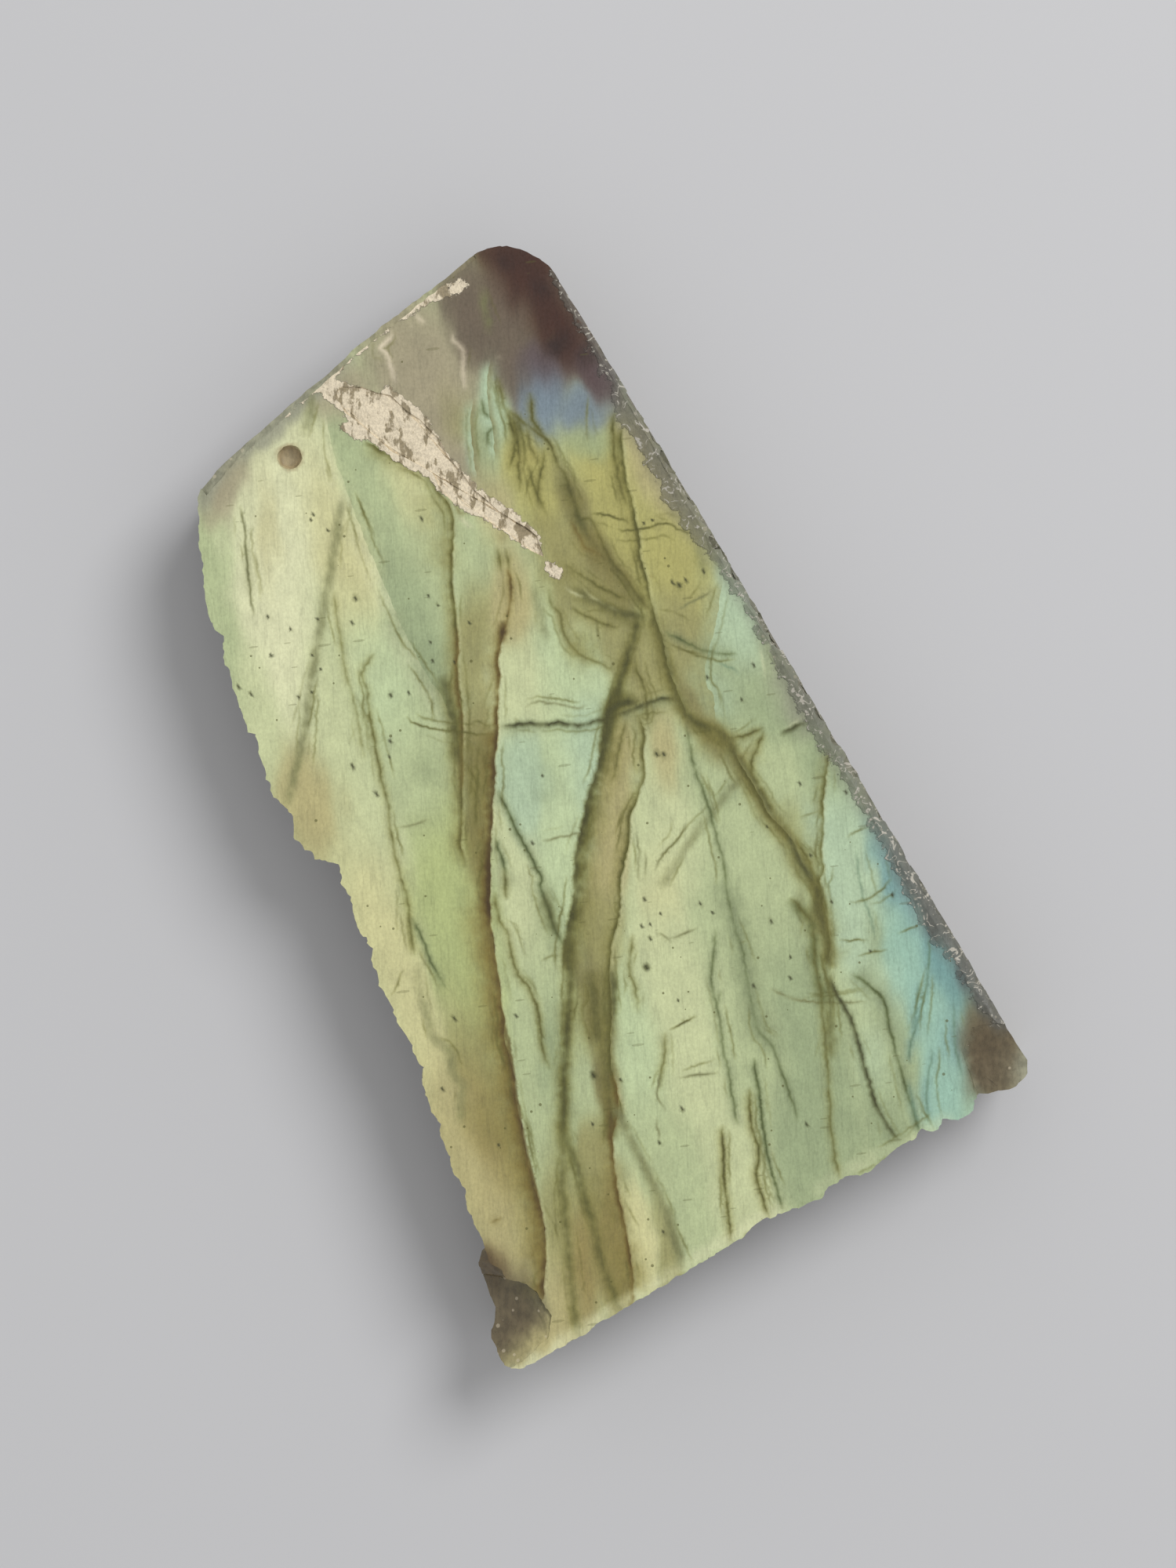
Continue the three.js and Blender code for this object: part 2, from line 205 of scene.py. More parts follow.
BODY_COLOUR = "leaf"
BODY_STRENGTH = 0.05
BODY_STRAY = 0.45
PATCHES = [
    # Left of the main vein, from the narrow end down
    Patch("beige", (-4.0, 21.8), 0.6, 1.5, 60, 0.7),
    Patch("stone_grey", (-4.2, 22.6), 0.4, 1.2, 65, 2.2),
    Patch("stone_grey", (-1.4, 23.2), 0.4, 1.6, 80, 2.2),
    Patch("stone_grey", (1.6, 23.6), 0.4, 1.6, 80, 2.0),
    Patch("cream", (-2.2, 19.0), 1.6, 3.6, 30, 1.0),
    Patch("straw", (-3.6, 18.6), 0.5, 2.2, 30, 0.7),
    Patch("butter", (-0.8, 16.0), 1.1, 3.6, 12, 1.3),
    Patch("leaf", (-7.8, 16.6), 0.7, 3.4, 20, 1.2),
    Patch("cream", (-5.4, 14.8), 1.3, 3.6, 20, 1.6),
    Patch("pale_leaf", (-4.8, 10.2), 1.4, 3.4, 25, 1.0),
    Patch("pale_leaf", (-8.6, 11.4), 0.9, 2.6, 20, 1.0),
    Patch("mint_leaf", (-2.4, 9.4), 1.3, 2.8, 20, 1.4),
    Patch("straw", (-8.8, 6.2), 1.1, 2.0, 20, 1.2),
    Patch("pale_leaf", (-6.6, 3.4), 1.2, 2.8, 20, 1.0),
    Patch("butter", (-8.8, -0.5), 1.1, 3.2, 20, 1.0),
    Patch("leaf", (-3.2, 4.6), 1.4, 2.8, 25, 1.3),
    Patch("meadow", (-4.9, -0.6), 1.3, 3.2, 28, 1.2),
    Patch("meadow", (-6.4, -5.6), 1.1, 3.0, 25, 1.1),
    Patch("butter", (-9.8, -6.0), 0.9, 3.4, 15, 1.0),
    Patch("khaki", (-8.6, -9.8), 0.8, 3.2, 20, 1.0),
    Patch("straw", (-11.3, -12.4), 0.8, 3.4, 15, 1.3),
    Patch("olive_gold", (-9.8, -12.4), 0.7, 3.0, 18, 1.2),
    Patch("straw", (-11.8, -17.2), 0.9, 2.6, 18, 1.3),
    # The green lens, and the olive strip between it and the main vein
    Patch("leaf", (2.6, 18.4), 1.1, 2.8, 10, 1.5),
    Patch("butter", (3.6, 17.2), 0.7, 2.0, 10, 0.9),
    Patch("leaf", (2.2, 13.6), 1.0, 2.6, 15, 1.2),
    Patch("sage", (0.8, 11.4), 0.8, 3.0, 12, 1.3),
    Patch("leaf", (4.6, 12.4), 0.9, 1.8, 30, 1.3),
    Patch("khaki", (3.2, 9.4), 0.7, 1.8, 30, 1.0),
    Patch("khaki", (0.9, 6.2), 0.6, 1.6, 30, 1.1),
    Patch("olive", (-0.6, 3.4), 0.5, 1.6, 32, 1.0),
    Patch("olive", (-2.4, 0.4), 0.4, 1.6, 32, 1.0),
    # Between the main vein and the long diagonal band
    Patch("straw", (5.1, 9.2), 0.8, 1.6, 25, 1.3),
    Patch("pale_leaf", (3.4, 5.8), 1.2, 1.6, 30, 1.6),
    Patch("mint_leaf", (6.2, 5.0), 1.2, 1.8, 30, 1.5),
    Patch("khaki", (7.3, 6.9), 0.5, 1.6, 20, 1.2),
    Patch("mint", (4.4, 0.8), 0.8, 2.2, 38, 1.3),
    Patch("mint_leaf", (2.4, -0.6), 0.7, 2.6, 32, 1.2),
    Patch("mint", (0.9, 0.8), 0.9, 2.0, 30, 1.3),
    Patch("mint_leaf", (-0.1, -3.8), 0.5, 1.8, 25, 1.2),
    Patch("pale_leaf", (-1.3, -0.8), 0.5, 1.4, 10, 1.3),
    Patch("pale_leaf", (-2.4, -4.6), 0.7, 2.6, 25, 1.4),
    Patch("leaf", (-3.4, -7.4), 0.7, 2.2, 25, 1.1),
    Patch("leaf", (-5.0, -9.2), 0.6, 2.6, 28, 1.2),
    Patch("sage", (-5.2, -11.8), 0.7, 2.6, 25, 1.0),
    Patch("leaf", (-7.2, -14.8), 0.7, 2.6, 28, 1.0),
    Patch("khaki", (-8.8, -18.2), 0.6, 2.6, 28, 1.0),
    Patch("straw", (-11.2, -22.8), 0.7, 2.0, 28, 1.4),
    # Between the diagonal band and the vein that runs beside it
    Patch("straw", (5.4, -0.6), 0.6, 1.6, 38, 1.1),
    Patch("straw", (2.9, -4.2), 0.6, 2.2, 38, 1.1),
    Patch("khaki", (0.4, -7.4), 0.6, 1.8, 32, 1.1),
    Patch("olive", (-1.8, -10.4), 0.5, 1.8, 25, 1.1),
    Patch("leaf", (-3.9, -12.4), 0.5, 1.4, 25, 1.3),
    Patch("olive", (-3.4, -14.4), 0.4, 1.2, 20, 1.1),
    Patch("olive_gold", (-7.4, -21.0), 0.6, 2.2, 25, 1.3),
    Patch("khaki", (-6.2, -17.6), 0.5, 1.6, 25, 1.0),
    Patch("olive_gold", (-9.4, -21.6), 0.5, 2.0, 28, 1.2),
    # The broad pale middle and the short broken edge
    Patch("straw", (8.0, -1.4), 0.6, 1.6, 30, 0.5),
    Patch("pale_leaf", (5.4, -5.8), 1.1, 2.8, 32, 1.2),
    Patch("butter", (4.2, -7.2), 0.7, 1.8, 35, 0.7),
    Patch("pale_leaf", (2.0, -10.4), 1.0, 2.6, 30, 1.1),
    Patch("mint_leaf", (-0.9, -13.4), 0.8, 2.6, 22, 1.3),
    Patch("pale_leaf", (2.6, -12.6), 1.2, 2.6, 20, 1.1),
    Patch("pale_leaf", (0.4, -16.2), 1.2, 2.6, 20, 1.1),
    Patch("leaf", (5.2, -11.2), 0.8, 3.0, 15, 1.2),
    Patch("leaf", (-2.6, -19.2), 1.1, 2.8, 22, 1.3),
    Patch("butter", (-6.0, -21.8), 0.5, 1.8, 22, 1.1),
    Patch("khaki", (-4.8, -22.2), 0.4, 2.2, 22, 0.9),
    Patch("pale_leaf", (0.0, -22.0), 1.2, 2.4, 22, 1.0),
    Patch("leaf", (3.4, -16.2), 1.0, 3.0, 15, 1.1),
    Patch("sage", (3.2, -22.0), 1.0, 2.2, 22, 1.0),
    Patch("leaf", (8.6, -4.4), 0.7, 2.6, 15, 1.1),
    Patch("leaf", (9.6, -6.6), 0.8, 2.8, 10, 1.1),
    Patch("leaf", (8.4, -11.0), 1.1, 3.0, 12, 1.1),
    Patch("sage", (7.4, -15.0), 0.9, 3.2, 15, 0.9),
    Patch("sage", (5.8, -20.0), 1.1, 3.2, 20, 1.2),
    # The teal side by the long sawn edge
    Patch("sage", (13.8, -2.6), 1.0, 1.4, 0, 1.3),
    Patch("stone_grey", (14.6, -2.8), 0.6, 1.2, 0, 1.0),
    Patch("sage", (12.6, 0.6), 0.9, 2.0, 35, 1.0),
    Patch("mint", (14.4, 2.6), 0.8, 1.8, 20, 1.4),
    Patch("leaf", (12.4, -5.6), 0.9, 1.8, 20, 1.3),
    Patch("sage", (14.4, -6.0), 0.7, 1.8, 20, 1.0),
    Patch("mint", (13.0, -9.8), 1.0, 2.2, 25, 1.6),
    Patch("mint", (12.0, -13.0), 0.9, 2.2, 20, 1.5),
    Patch("sea", (14.5, -13.4), 0.6, 2.2, 5, 1.2),
    Patch("teal", (12.9, -16.6), 0.9, 2.0, 20, 1.3),
    Patch("deep_sea", (14.6, -17.6), 0.7, 1.8, 15, 1.6),
    Patch("mint", (10.8, -15.8), 0.5, 1.6, 20, 1.0),
    Patch("leaf", (9.6, -19.4), 0.9, 2.6, 25, 1.2),
    Patch("teal", (12.6, -19.4), 0.9, 1.8, 25, 1.6),
    Patch("teal", (11.2, -23.4), 0.9, 1.4, 25, 1.6),
    Patch("sage", (10.2, -20.8), 0.7, 1.8, 25, 1.0),
    Patch("sea", (12.6, -21.4), 0.6, 1.2, 30, 0.5),
    Patch("sage", (12.1, -15.2), 0.5, 1.0, 20, 1.2),
    Patch("sage", (8.0, -22.8), 0.7, 2.2, 22, 1.1),
    Patch("mint", (9.0, -20.2), 0.6, 1.6, 22, 1.2),
    Patch("slate", (15.4, -17.4), 0.45, 3.2, 0, 4.0),
    Patch("mint", (11.2, -17.6), 0.6, 1.6, 20, 1.4),
    # The olive-yellow side above it
    Patch("mustard", (12.5, 11.2), 1.0, 2.8, 15, 1.5),
    Patch("straw", (14.7, 11.4), 0.7, 2.4, 0, 1.2),
    Patch("mustard", (13.4, 6.8), 1.2, 2.2, 10, 1.2),
    Patch("khaki", (12.0, 3.8), 0.7, 1.8, 25, 1.2),
    Patch("mustard", (9.5, 14.0), 0.9, 2.0, 10, 1.0),
    Patch("khaki", (9.0, 9.6), 0.9, 2.2, 5, 1.3),
    Patch("olive", (10.4, 9.4), 0.5, 2.8, 5, 1.4),
    Patch("khaki", (9.0, 6.2), 0.9, 1.8, 20, 1.2),
    Patch("khaki", (9.2, 2.6), 0.8, 1.6, 30, 1.0),
    Patch("olive", (10.3, -1.0), 0.4, 1.8, 0, 1.2),
    # The narrow end, where the flash runs out
    Patch("beige", (7.4, 21.2), 1.5, 2.6, 10, 1.7),
    Patch("khaki", (7.8, 18.6), 0.6, 1.4, 10, 0.8),
    Patch("beige", (6.8, 17.0), 0.7, 2.0, 0, 1.1),
    Patch("beige", (3.4, 22.8), 1.0, 1.0, 90, 1.2),
    Patch("straw", (7.2, 14.4), 0.7, 1.6, 20, 0.9),
    Patch("sage", (8.0, 16.6), 0.6, 1.6, 20, 1.1),
    Patch("mint", (9.8, 18.2), 0.5, 1.6, 28, 1.3),
    Patch("umber", (11.0, 22.6), 0.8, 1.8, 20, 1.5),
    Patch("umber", (12.6, 21.8), 1.0, 1.6, 20, 1.6),
    Patch("rust", (14.6, 23.2), 1.1, 1.8, 0, 2.6),
    Patch("rust", (14.9, 19.8), 0.8, 1.6, 0, 2.4),
    Patch("violet", (14.9, 17.2), 0.6, 1.2, 0, 2.0),
    Patch("violet", (12.8, 18.8), 0.9, 0.9, 60, 1.6),
    Patch("blue", (12.0, 17.6), 0.8, 1.2, 30, 2.2),
    Patch("blue", (13.6, 15.6), 0.9, 0.7, 60, 2.4),
    Patch("sage", (13.2, 14.0), 0.9, 0.6, 60, 1.8),
    Patch("umber", (11.4, 19.2), 0.6, 1.2, 20, 1.8),
    # The two bottom corners
    Patch("clay", (-14.2, -21.0), 1.2, 1.7, 10, 3.6),
    Patch("dark_clay", (-13.6, -19.4), 0.6, 1.0, 20, 3.4),
    Patch("straw", (-13.4, -23.6), 1.6, 0.7, 0, 1.6),
    # A painted highlight along the lower rim of this corner
    Patch("cream", (-13.6, -24.4), 1.8, 0.35, 0, 1.8),
    Patch("clay", (14.3, -23.2), 1.1, 1.4, 30, 4.0),
    Patch("stone_grey", (15.1, -24.6), 0.7, 0.8, 0, 2.4),
]

# A mark is a line of one kind, as places down the face. Its strength is 1 where none is given.
Mark = namedtuple("Mark", "kind places strength", defaults=[1.0])

UPPER_LEFT_MARKS = [
    Mark("faint line", [(-3.9, 20.8), (-4.5, 19.4), (-5.3, 17.8), (-6.4, 15.4)], 1.3),
    Mark("soft grey line", [(-4.6, 19.2), (-5.3, 17.7), (-5.9, 16.4)], 0.5),
    Mark("faint line", [(-3.9, 19.6), (-4.5, 18.8)]),
    Mark("soft grey line", [
        (0.9, 18.6), (-0.3, 17.1), (-1.23, 16), (-2.6, 14.5), (-4, 12.9), (-5.54, 11.2),
        (-6.2, 10.3), (-7.7, 8.6), (-8.9, 7.4), (-9.9, 6.3),
    ], 1.25),
    Mark("olive line", [
        (-2.15, 14.6), (-2.77, 13.15), (-3.27, 11.92), (-3.73, 10.9), (-4.04, 9.85),
        (-4.54, 8.2), (-5, 7.1), (-5.3, 6.1),
    ], 0.4),
    Mark("olive line", [
        (-2, 10.77), (-2.4, 10.6), (-3.15, 10.08), (-3.35, 9.3), (-3.77, 8.5), (-4.15, 7.5),
        (-4.4, 6.8), (-4.77, 5.85), (-5.1, 5), (-5.6, 3.55), (-6.2, 2.3), (-6.7, 0.8),
        (-7.2, -0.9), (-7.8, -2.2), (-8.35, -3.6),
    ], 0.7),
    Mark("olive line", [(-4.15, 7.5), (-4.3, 7.2), (-4.4, 6.8)], 0.8),
    Mark("green line", [(-7.5, -1.7), (-7.45, -2.3), (-7.6, -3.2), (-7.8, -4.2), (-7.85, -5.9)]),
    Mark("faint line", [(-5.77, 2.54), (-5, 2.23), (-3.9, 2)]),
    Mark("soft grey line", [
        (-8.4, -3.8), (-8.9, -4.8), (-9.3, -6), (-9.7, -7.6), (-9.4, -8.5), (-9.8, -9.8),
        (-9.7, -10.4), (-10.1, -11), (-11, -12.2),
    ]),
    Mark("wide olive shade", [(-9.5, -11.2), (-9.8, -12), (-9.8, -13.6), (-10.1, -14.4)], 0.4),
    Mark("hair crack", [(-9.1, -3.7), (-9.6, -4.1), (-10, -4.4), (-10.5, -4.7)]),
    Mark("wide green shade", [(-2.3, 5.5), (-2.77, 4.2), (-3, 3.1)], 0.6),
]

LENS_MARKS = [
    # A painted highlight on the right of this line
    Mark("pale edge", [
        (-1, 4), (-1.1, 4.85), (-0.9, 6.3), (-0.6, 6.9), (-0.5, 7.5), (-0.6, 8.7), (-0.7, 9.5),
        (-0.77, 10.6), (-0.6, 11.7),
    ], 0.3),
    Mark("lens edge", [
        (2.3, 22.5), (1.5, 20.4), (1, 18), (0.6, 16), (0.3, 14), (0, 12), (-0.23, 10),
        (-0.35, 8.5), (-0.27, 7.1), (-0.4, 5.8), (-0.3, 5.2),
    ]),
    Mark("wide green shade", [
        (-0.3, 12.4), (-0.45, 11), (-0.5, 9.5), (-0.4, 8), (-0.5, 6.6), (-0.7, 5.4),
    ], 0.8),
    Mark("olive edge", [
        (3.2, 20.3), (4, 18.7), (4.7, 17.8), (5.1, 17), (5.1, 16), (5.15, 15), (4.77, 14.08),
        (4, 13), (3.3, 11.85), (2.77, 10.7), (2.15, 9.46), (1.46, 8.3), (0.85, 7.2),
        (0.38, 6.15), (-0.3, 4.92), (-0.96, 3.92), (-1.7, 2.7), (-2.3, 1.7), (-2.9, 0.77),
        (-3.4, 0), (-3.73, -1.08),
    ]),
    Mark("wide brown shade", [(4.6, 16.4), (4, 14), (3, 12.2)], 0.5),
    Mark("brown vein", [
        (2.3, 9.8), (1.85, 8.9), (1.15, 7.85), (0.58, 6.7), (0, 5.4), (-0.6, 4.46),
        (-1.38, 3.15), (-2, 2.23),
    ], 0.8),
    Mark("deep shade", [(0.4, 8), (0, 6.8), (-0.5, 5.4), (-1, 4.4), (-1.4, 3.6)], 0.7),
    Mark("olive line", [(-0.96, 3.7), (-1, 2.9), (-1.04, 2.3), (-1.23, 1.7)]),
    Mark("olive line", [(-1.3, 2.77), (-1.38, 2), (-1.46, 1.38)]),
    Mark("soft grey line", [(2.6, 23.7), (2.1, 23.55), (1.8, 23.1), (1, 22.3), (0.6, 21.9)]),
]

MAIN_VEIN_MARKS = [
    Mark("olive line", [(6.15, 12.1), (6, 11.7), (5.8, 11.2), (5.7, 10.8)]),
    Mark("olive line", [(6.54, 11.85), (6.38, 11.6), (6.23, 11.15), (6, 10.6)]),
    Mark("brown line", [(6.1, 11), (5.8, 10.2), (5.46, 9.6), (4.92, 9), (4.4, 8.4), (4, 8.1)]),
    Mark("brown vein", [
        (4.4, 8.4), (3.8, 7.9), (3.23, 7.23), (2.77, 6.4), (2.15, 5.5), (1.42, 4.3),
        (0.92, 3.54), (0.3, 2.85),
    ], 1.2),
    Mark("main vein", [
        (1.42, 4.3), (0.92, 3.54), (0.3, 2.85), (0.08, 2.3), (-0.54, 1.54), (-1.08, 0.7), (-1.7, -0.15),
        (-2.3, -0.96), (-2.85, -1.9), (-3.46, -2.85), (-4.04, -3.77), (-4.46, -4.77),
        (-4.85, -5.77), (-5.46, -7.08), (-6, -8.15), (-6.2, -8.8), (-6.7, -9.6), (-7, -10.8),
        (-7.8, -12.5), (-8.4, -14.2), (-9, -15.7), (-9.6, -17.9), (-10.3, -19.5),
        (-11, -20.6), (-12, -22),
    ]),
    Mark("vein shade", [
        (-3.7, -3.2), (-4.46, -4.77), (-5.46, -7.08), (-6.2, -8.8), (-7, -10.8), (-8.4, -14.2),
        (-9.6, -17.9), (-10.3, -19.5), (-11, -20.6),
    ], 0.9),
    Mark("dark stretch", [(-6.1, -8.6), (-7, -10.9), (-8.4, -14.3), (-9.6, -18)], 0.5),
    Mark("dark stretch", [(-2, -0.54), (-2.85, -1.9), (-3.46, -2.85), (-4.23, -4.3)]),
    Mark("dark stretch", [(-1.7, -0.15), (-2.3, -0.96), (-3.15, -2.3), (-3.77, -3.3)], 0.7),
    Mark("wide olive shade", [(0.2, 4.6), (-0.9, 2.9), (-2.4, 0.4), (-3.4, -1.2)], 0.9),
    Mark("olive line", [(0.2, 4.2), (-0.6, 3), (-1.5, 1.6), (-2.3, 0.4)], 0.7),
    Mark("dark blob", [(4.5, 8.75), (4.25, 8.35), (3.95, 8.0), (3.7, 7.7)]),
]

CENTRE_CRACKS = [
    Mark("hair crack", [
        (-2.4, 7.15), (-2.1, 6.46), (-1.77, 6.15), (-1.38, 5.77), (-0.92, 5.38), (-0.15, 4.85),
        (0.3, 4.46), (1, 4),
    ]),
    Mark("hair crack", [(0.15, 5.08), (0.6, 5), (0.92, 4.6), (1.3, 4.3)]),
    Mark("dark crack", [
        (1.42, 4.2), (2, 3.92), (2.54, 3.7), (3, 3.42), (3.46, 3.08), (4.08, 2.85),
        (4.54, 2.46), (5, 2.15), (5.46, 1.92), (6, 1.8), (7, 1.58), (7.54, 1.42),
        (8.54, 1.27), (9.08, 1.1), (9.54, 0.92), (10.2, 0.4), (10.46, 0.15),
    ]),
    Mark("hair crack", [(7.9, 1.42), (8.08, 1.7), (8.3, 1.46)]),
    Mark("faint line", [
        (3, 4.4), (3.7, 4.27), (4.15, 3.92), (4.6, 3.6), (5, 3.23), (5.3, 2.9), (5.9, 2.77),
    ], 1.3),
    Mark("olive line", [(2.2, 4.12), (2.5, 4.04)], 0.8),
    Mark("brown line", [(6.4, 2.2), (7, 2.4)], 0.7),
    Mark("wide green shade", [(3.08, 2.7), (2.3, 1), (1.7, 0.15), (1.08, -0.6)], 0.35),
    Mark("faint line", [(0.15, -1.9), (0.92, -2.15), (1.54, -2.4), (2.4, -2.7)], 1.2),
    Mark("green line", [
        (-0.3, 1.6), (-0.42, 0.46), (-0.6, -1.15), (-0.7, -2.85), (-0.77, -3.54),
        (-1.08, -3.9), (-1.27, -4.9), (-1.5, -6), (-1.6, -7.3),
    ], 1.1),
    Mark("wide green shade", [(-0.9, -3.4), (-1.2, -4.6), (-1.6, -6), (-1.9, -7.6)], 0.9),
    Mark("deep shade", [(-1.05, -4), (-1.3, -5.2), (-1.6, -6.6)], 0.5),
    Mark("green line", [(-1.7, -0.4), (-1.92, -1.46), (-2.08, -2.08), (-2.23, -2.46)], 1.1),
    Mark("olive line", [(-2.1, -2), (-2.5, -2.8), (-2.9, -3.6)], 0.9),
    Mark("wide green shade", [(-2.2, -2), (-2.5, -2.6), (-2.9, -3.4)], 0.5),
    Mark("olive line", [
        (-3.15, -2.9), (-3.7, -4.2), (-3.7, -4.9), (-4.15, -6.2), (-4.35, -7.3),
        (-4.27, -7.85), (-4.4, -9), (-4.85, -10.08), (-5.27, -11.08), (-5.54, -12.15),
    ], 0.75),
    Mark("hair crack", [(-3.08, -7.04), (-2.6, -7.1), (-2.08, -7.35)]),
]

DIAGONAL_MARKS = [
    Mark("olive band", [(10.6, 5.4), (10.2, 5), (9, 3.9), (7.85, 2.9), (7.15, 2.15), (6.4, 1.4)]),
    Mark("band edge", [
        (7.6, 2.9), (6.8, 2.2), (6.1, 1.5), (5.4, 0.7), (4.5, -0.4), (3.4, -1.3), (2.5, -2.3),
        (1.4, -3.4), (0.6, -4.6), (-0.1, -5.5), (-0.85, -6.3), (-1.6, -7.2), (-2.2, -8.2),
    ], 1.1),
    Mark("olive band", [
        (-1.0, -6.6), (-1.7, -7.8), (-2.2, -8.7), (-2.8, -9.6), (-3.5, -10.6), (-4.3, -11.7),
        (-5, -12.7), (-5.7, -13.8), (-6.3, -14.7), (-6.7, -15.5),
    ], 0.9),
    Mark("deep shade", [(8, 3), (7.3, 2.2), (6.6, 1.6), (5.9, 0.9), (5.1, 0.1)], 0.7),
    Mark("olive line", [(7.2, 1.2), (6.4, 0.4), (5.6, -0.5), (4.8, -1.3)], 0.6),
    Mark("soft grey line", [
        (11, -4.2), (10.4, -4.5), (9.3, -4.9), (8.3, -5.3), (7.2, -5.7), (6, -6.2), (5, -6.7),
        (4.1, -7.2),
    ], 1.1),
    # Painted glints on small cleavage edges
    Mark("pale line", [(5.3, 0.75), (5.1, 0.45)], 0.6),
    Mark("pale line", [(1.62, -3.45), (1.38, -3.8)], 0.6),
    Mark("olive band", [
        (-6.2, -14.4), (-6.9, -15.6), (-7.7, -16.9), (-8.4, -18.1), (-9.1, -19.6),
        (-10, -21.4), (-10.8, -23), (-11.4, -24.6),
    ], 0.55),
    Mark("olive band", [
        (-6.5, -15), (-6.75, -16.1), (-6.95, -17.2), (-7.4, -18.7), (-7.85, -20.3),
        (-8.3, -21.7), (-8.6, -23), (-8.85, -24.6),
    ], 0.65),
    Mark("deep shade", [
        (-0.1, -9.2), (-0.8, -10.5), (-1.6, -11.6), (-2.4, -12.7), (-3, -13.8), (-3.5, -14.8),
        (-4.1, -15.8), (-4.8, -16.9),
    ], 1.1),
    Mark("deep shade", [(-1, -8.8), (-1.6, -10), (-2.2, -11.2), (-2.9, -12.4)], 0.9),
    Mark("dark stretch", [(-3.6, -14.9), (-4.3, -16.1), (-5, -17.2)], 0.8),
    Mark("wide olive shade", [(-5.8, -17.6), (-6.6, -19.8), (-7.4, -22), (-8, -24.2)], 1.1),
    Mark("wide brown shade", [(-6.6, -21.4), (-7.3, -23), (-7.8, -24.4)], 0.9),
    Mark("olive line", [
        (9.3, 3.77), (8.9, 2.77), (8.7, 1.7), (8.46, 1.3), (8.08, 0.54), (7.77, 1.08),
    ], 0.7),
    Mark("olive edge", [
        (7.77, 1.08), (7.6, 0.08), (7, -0.77), (6.54, -1.7), (5.77, -2.46), (5.08, -2.95),
        (4.6, -3.4), (3.9, -4.4), (3.15, -5.15), (2.46, -5.9), (2, -6.7), (1.3, -7.54),
        (0.54, -8.23), (-0.08, -9.08), (-0.7, -10.15), (-1.4, -11.4), (-2, -12.3),
        (-2.7, -13.46), (-3.08, -14.6), (-3.54, -16),
    ], 1.2),
    Mark("olive edge", [(-1.7, -9.08), (-1.85, -10), (-2.6, -10.54), (-2.92, -12.08)], 0.5),
    Mark("wide olive shade", [(-1, -8.6), (-1.9, -10.2), (-2.5, -11.6), (-3.2, -13.2)], 0.8),
    Mark("brown vein", [
        (-2.8, -13.7), (-3.08, -14.6), (-3.6, -15.7), (-4.6, -16.7), (-5.3, -18.1),
        (-6, -19.6), (-6.5, -21.2), (-7.2, -22.9), (-7.6, -23.7), (-8.4, -24.9),
    ]),
    Mark("faint line", [(4.6, -3.9), (4.2, -4.9), (3.9, -5.5)]),
    Mark("faint line", [(4.6, -5), (3.6, -6.5)]),
    Mark("faint line", [(4.2, -4.9), (3.3, -6.3)]),
    Mark("faint line", [(4.3, -6.3), (5.08, -5.75), (6.08, -5.55), (6.8, -5.1), (7.05, -4.87)]),
]

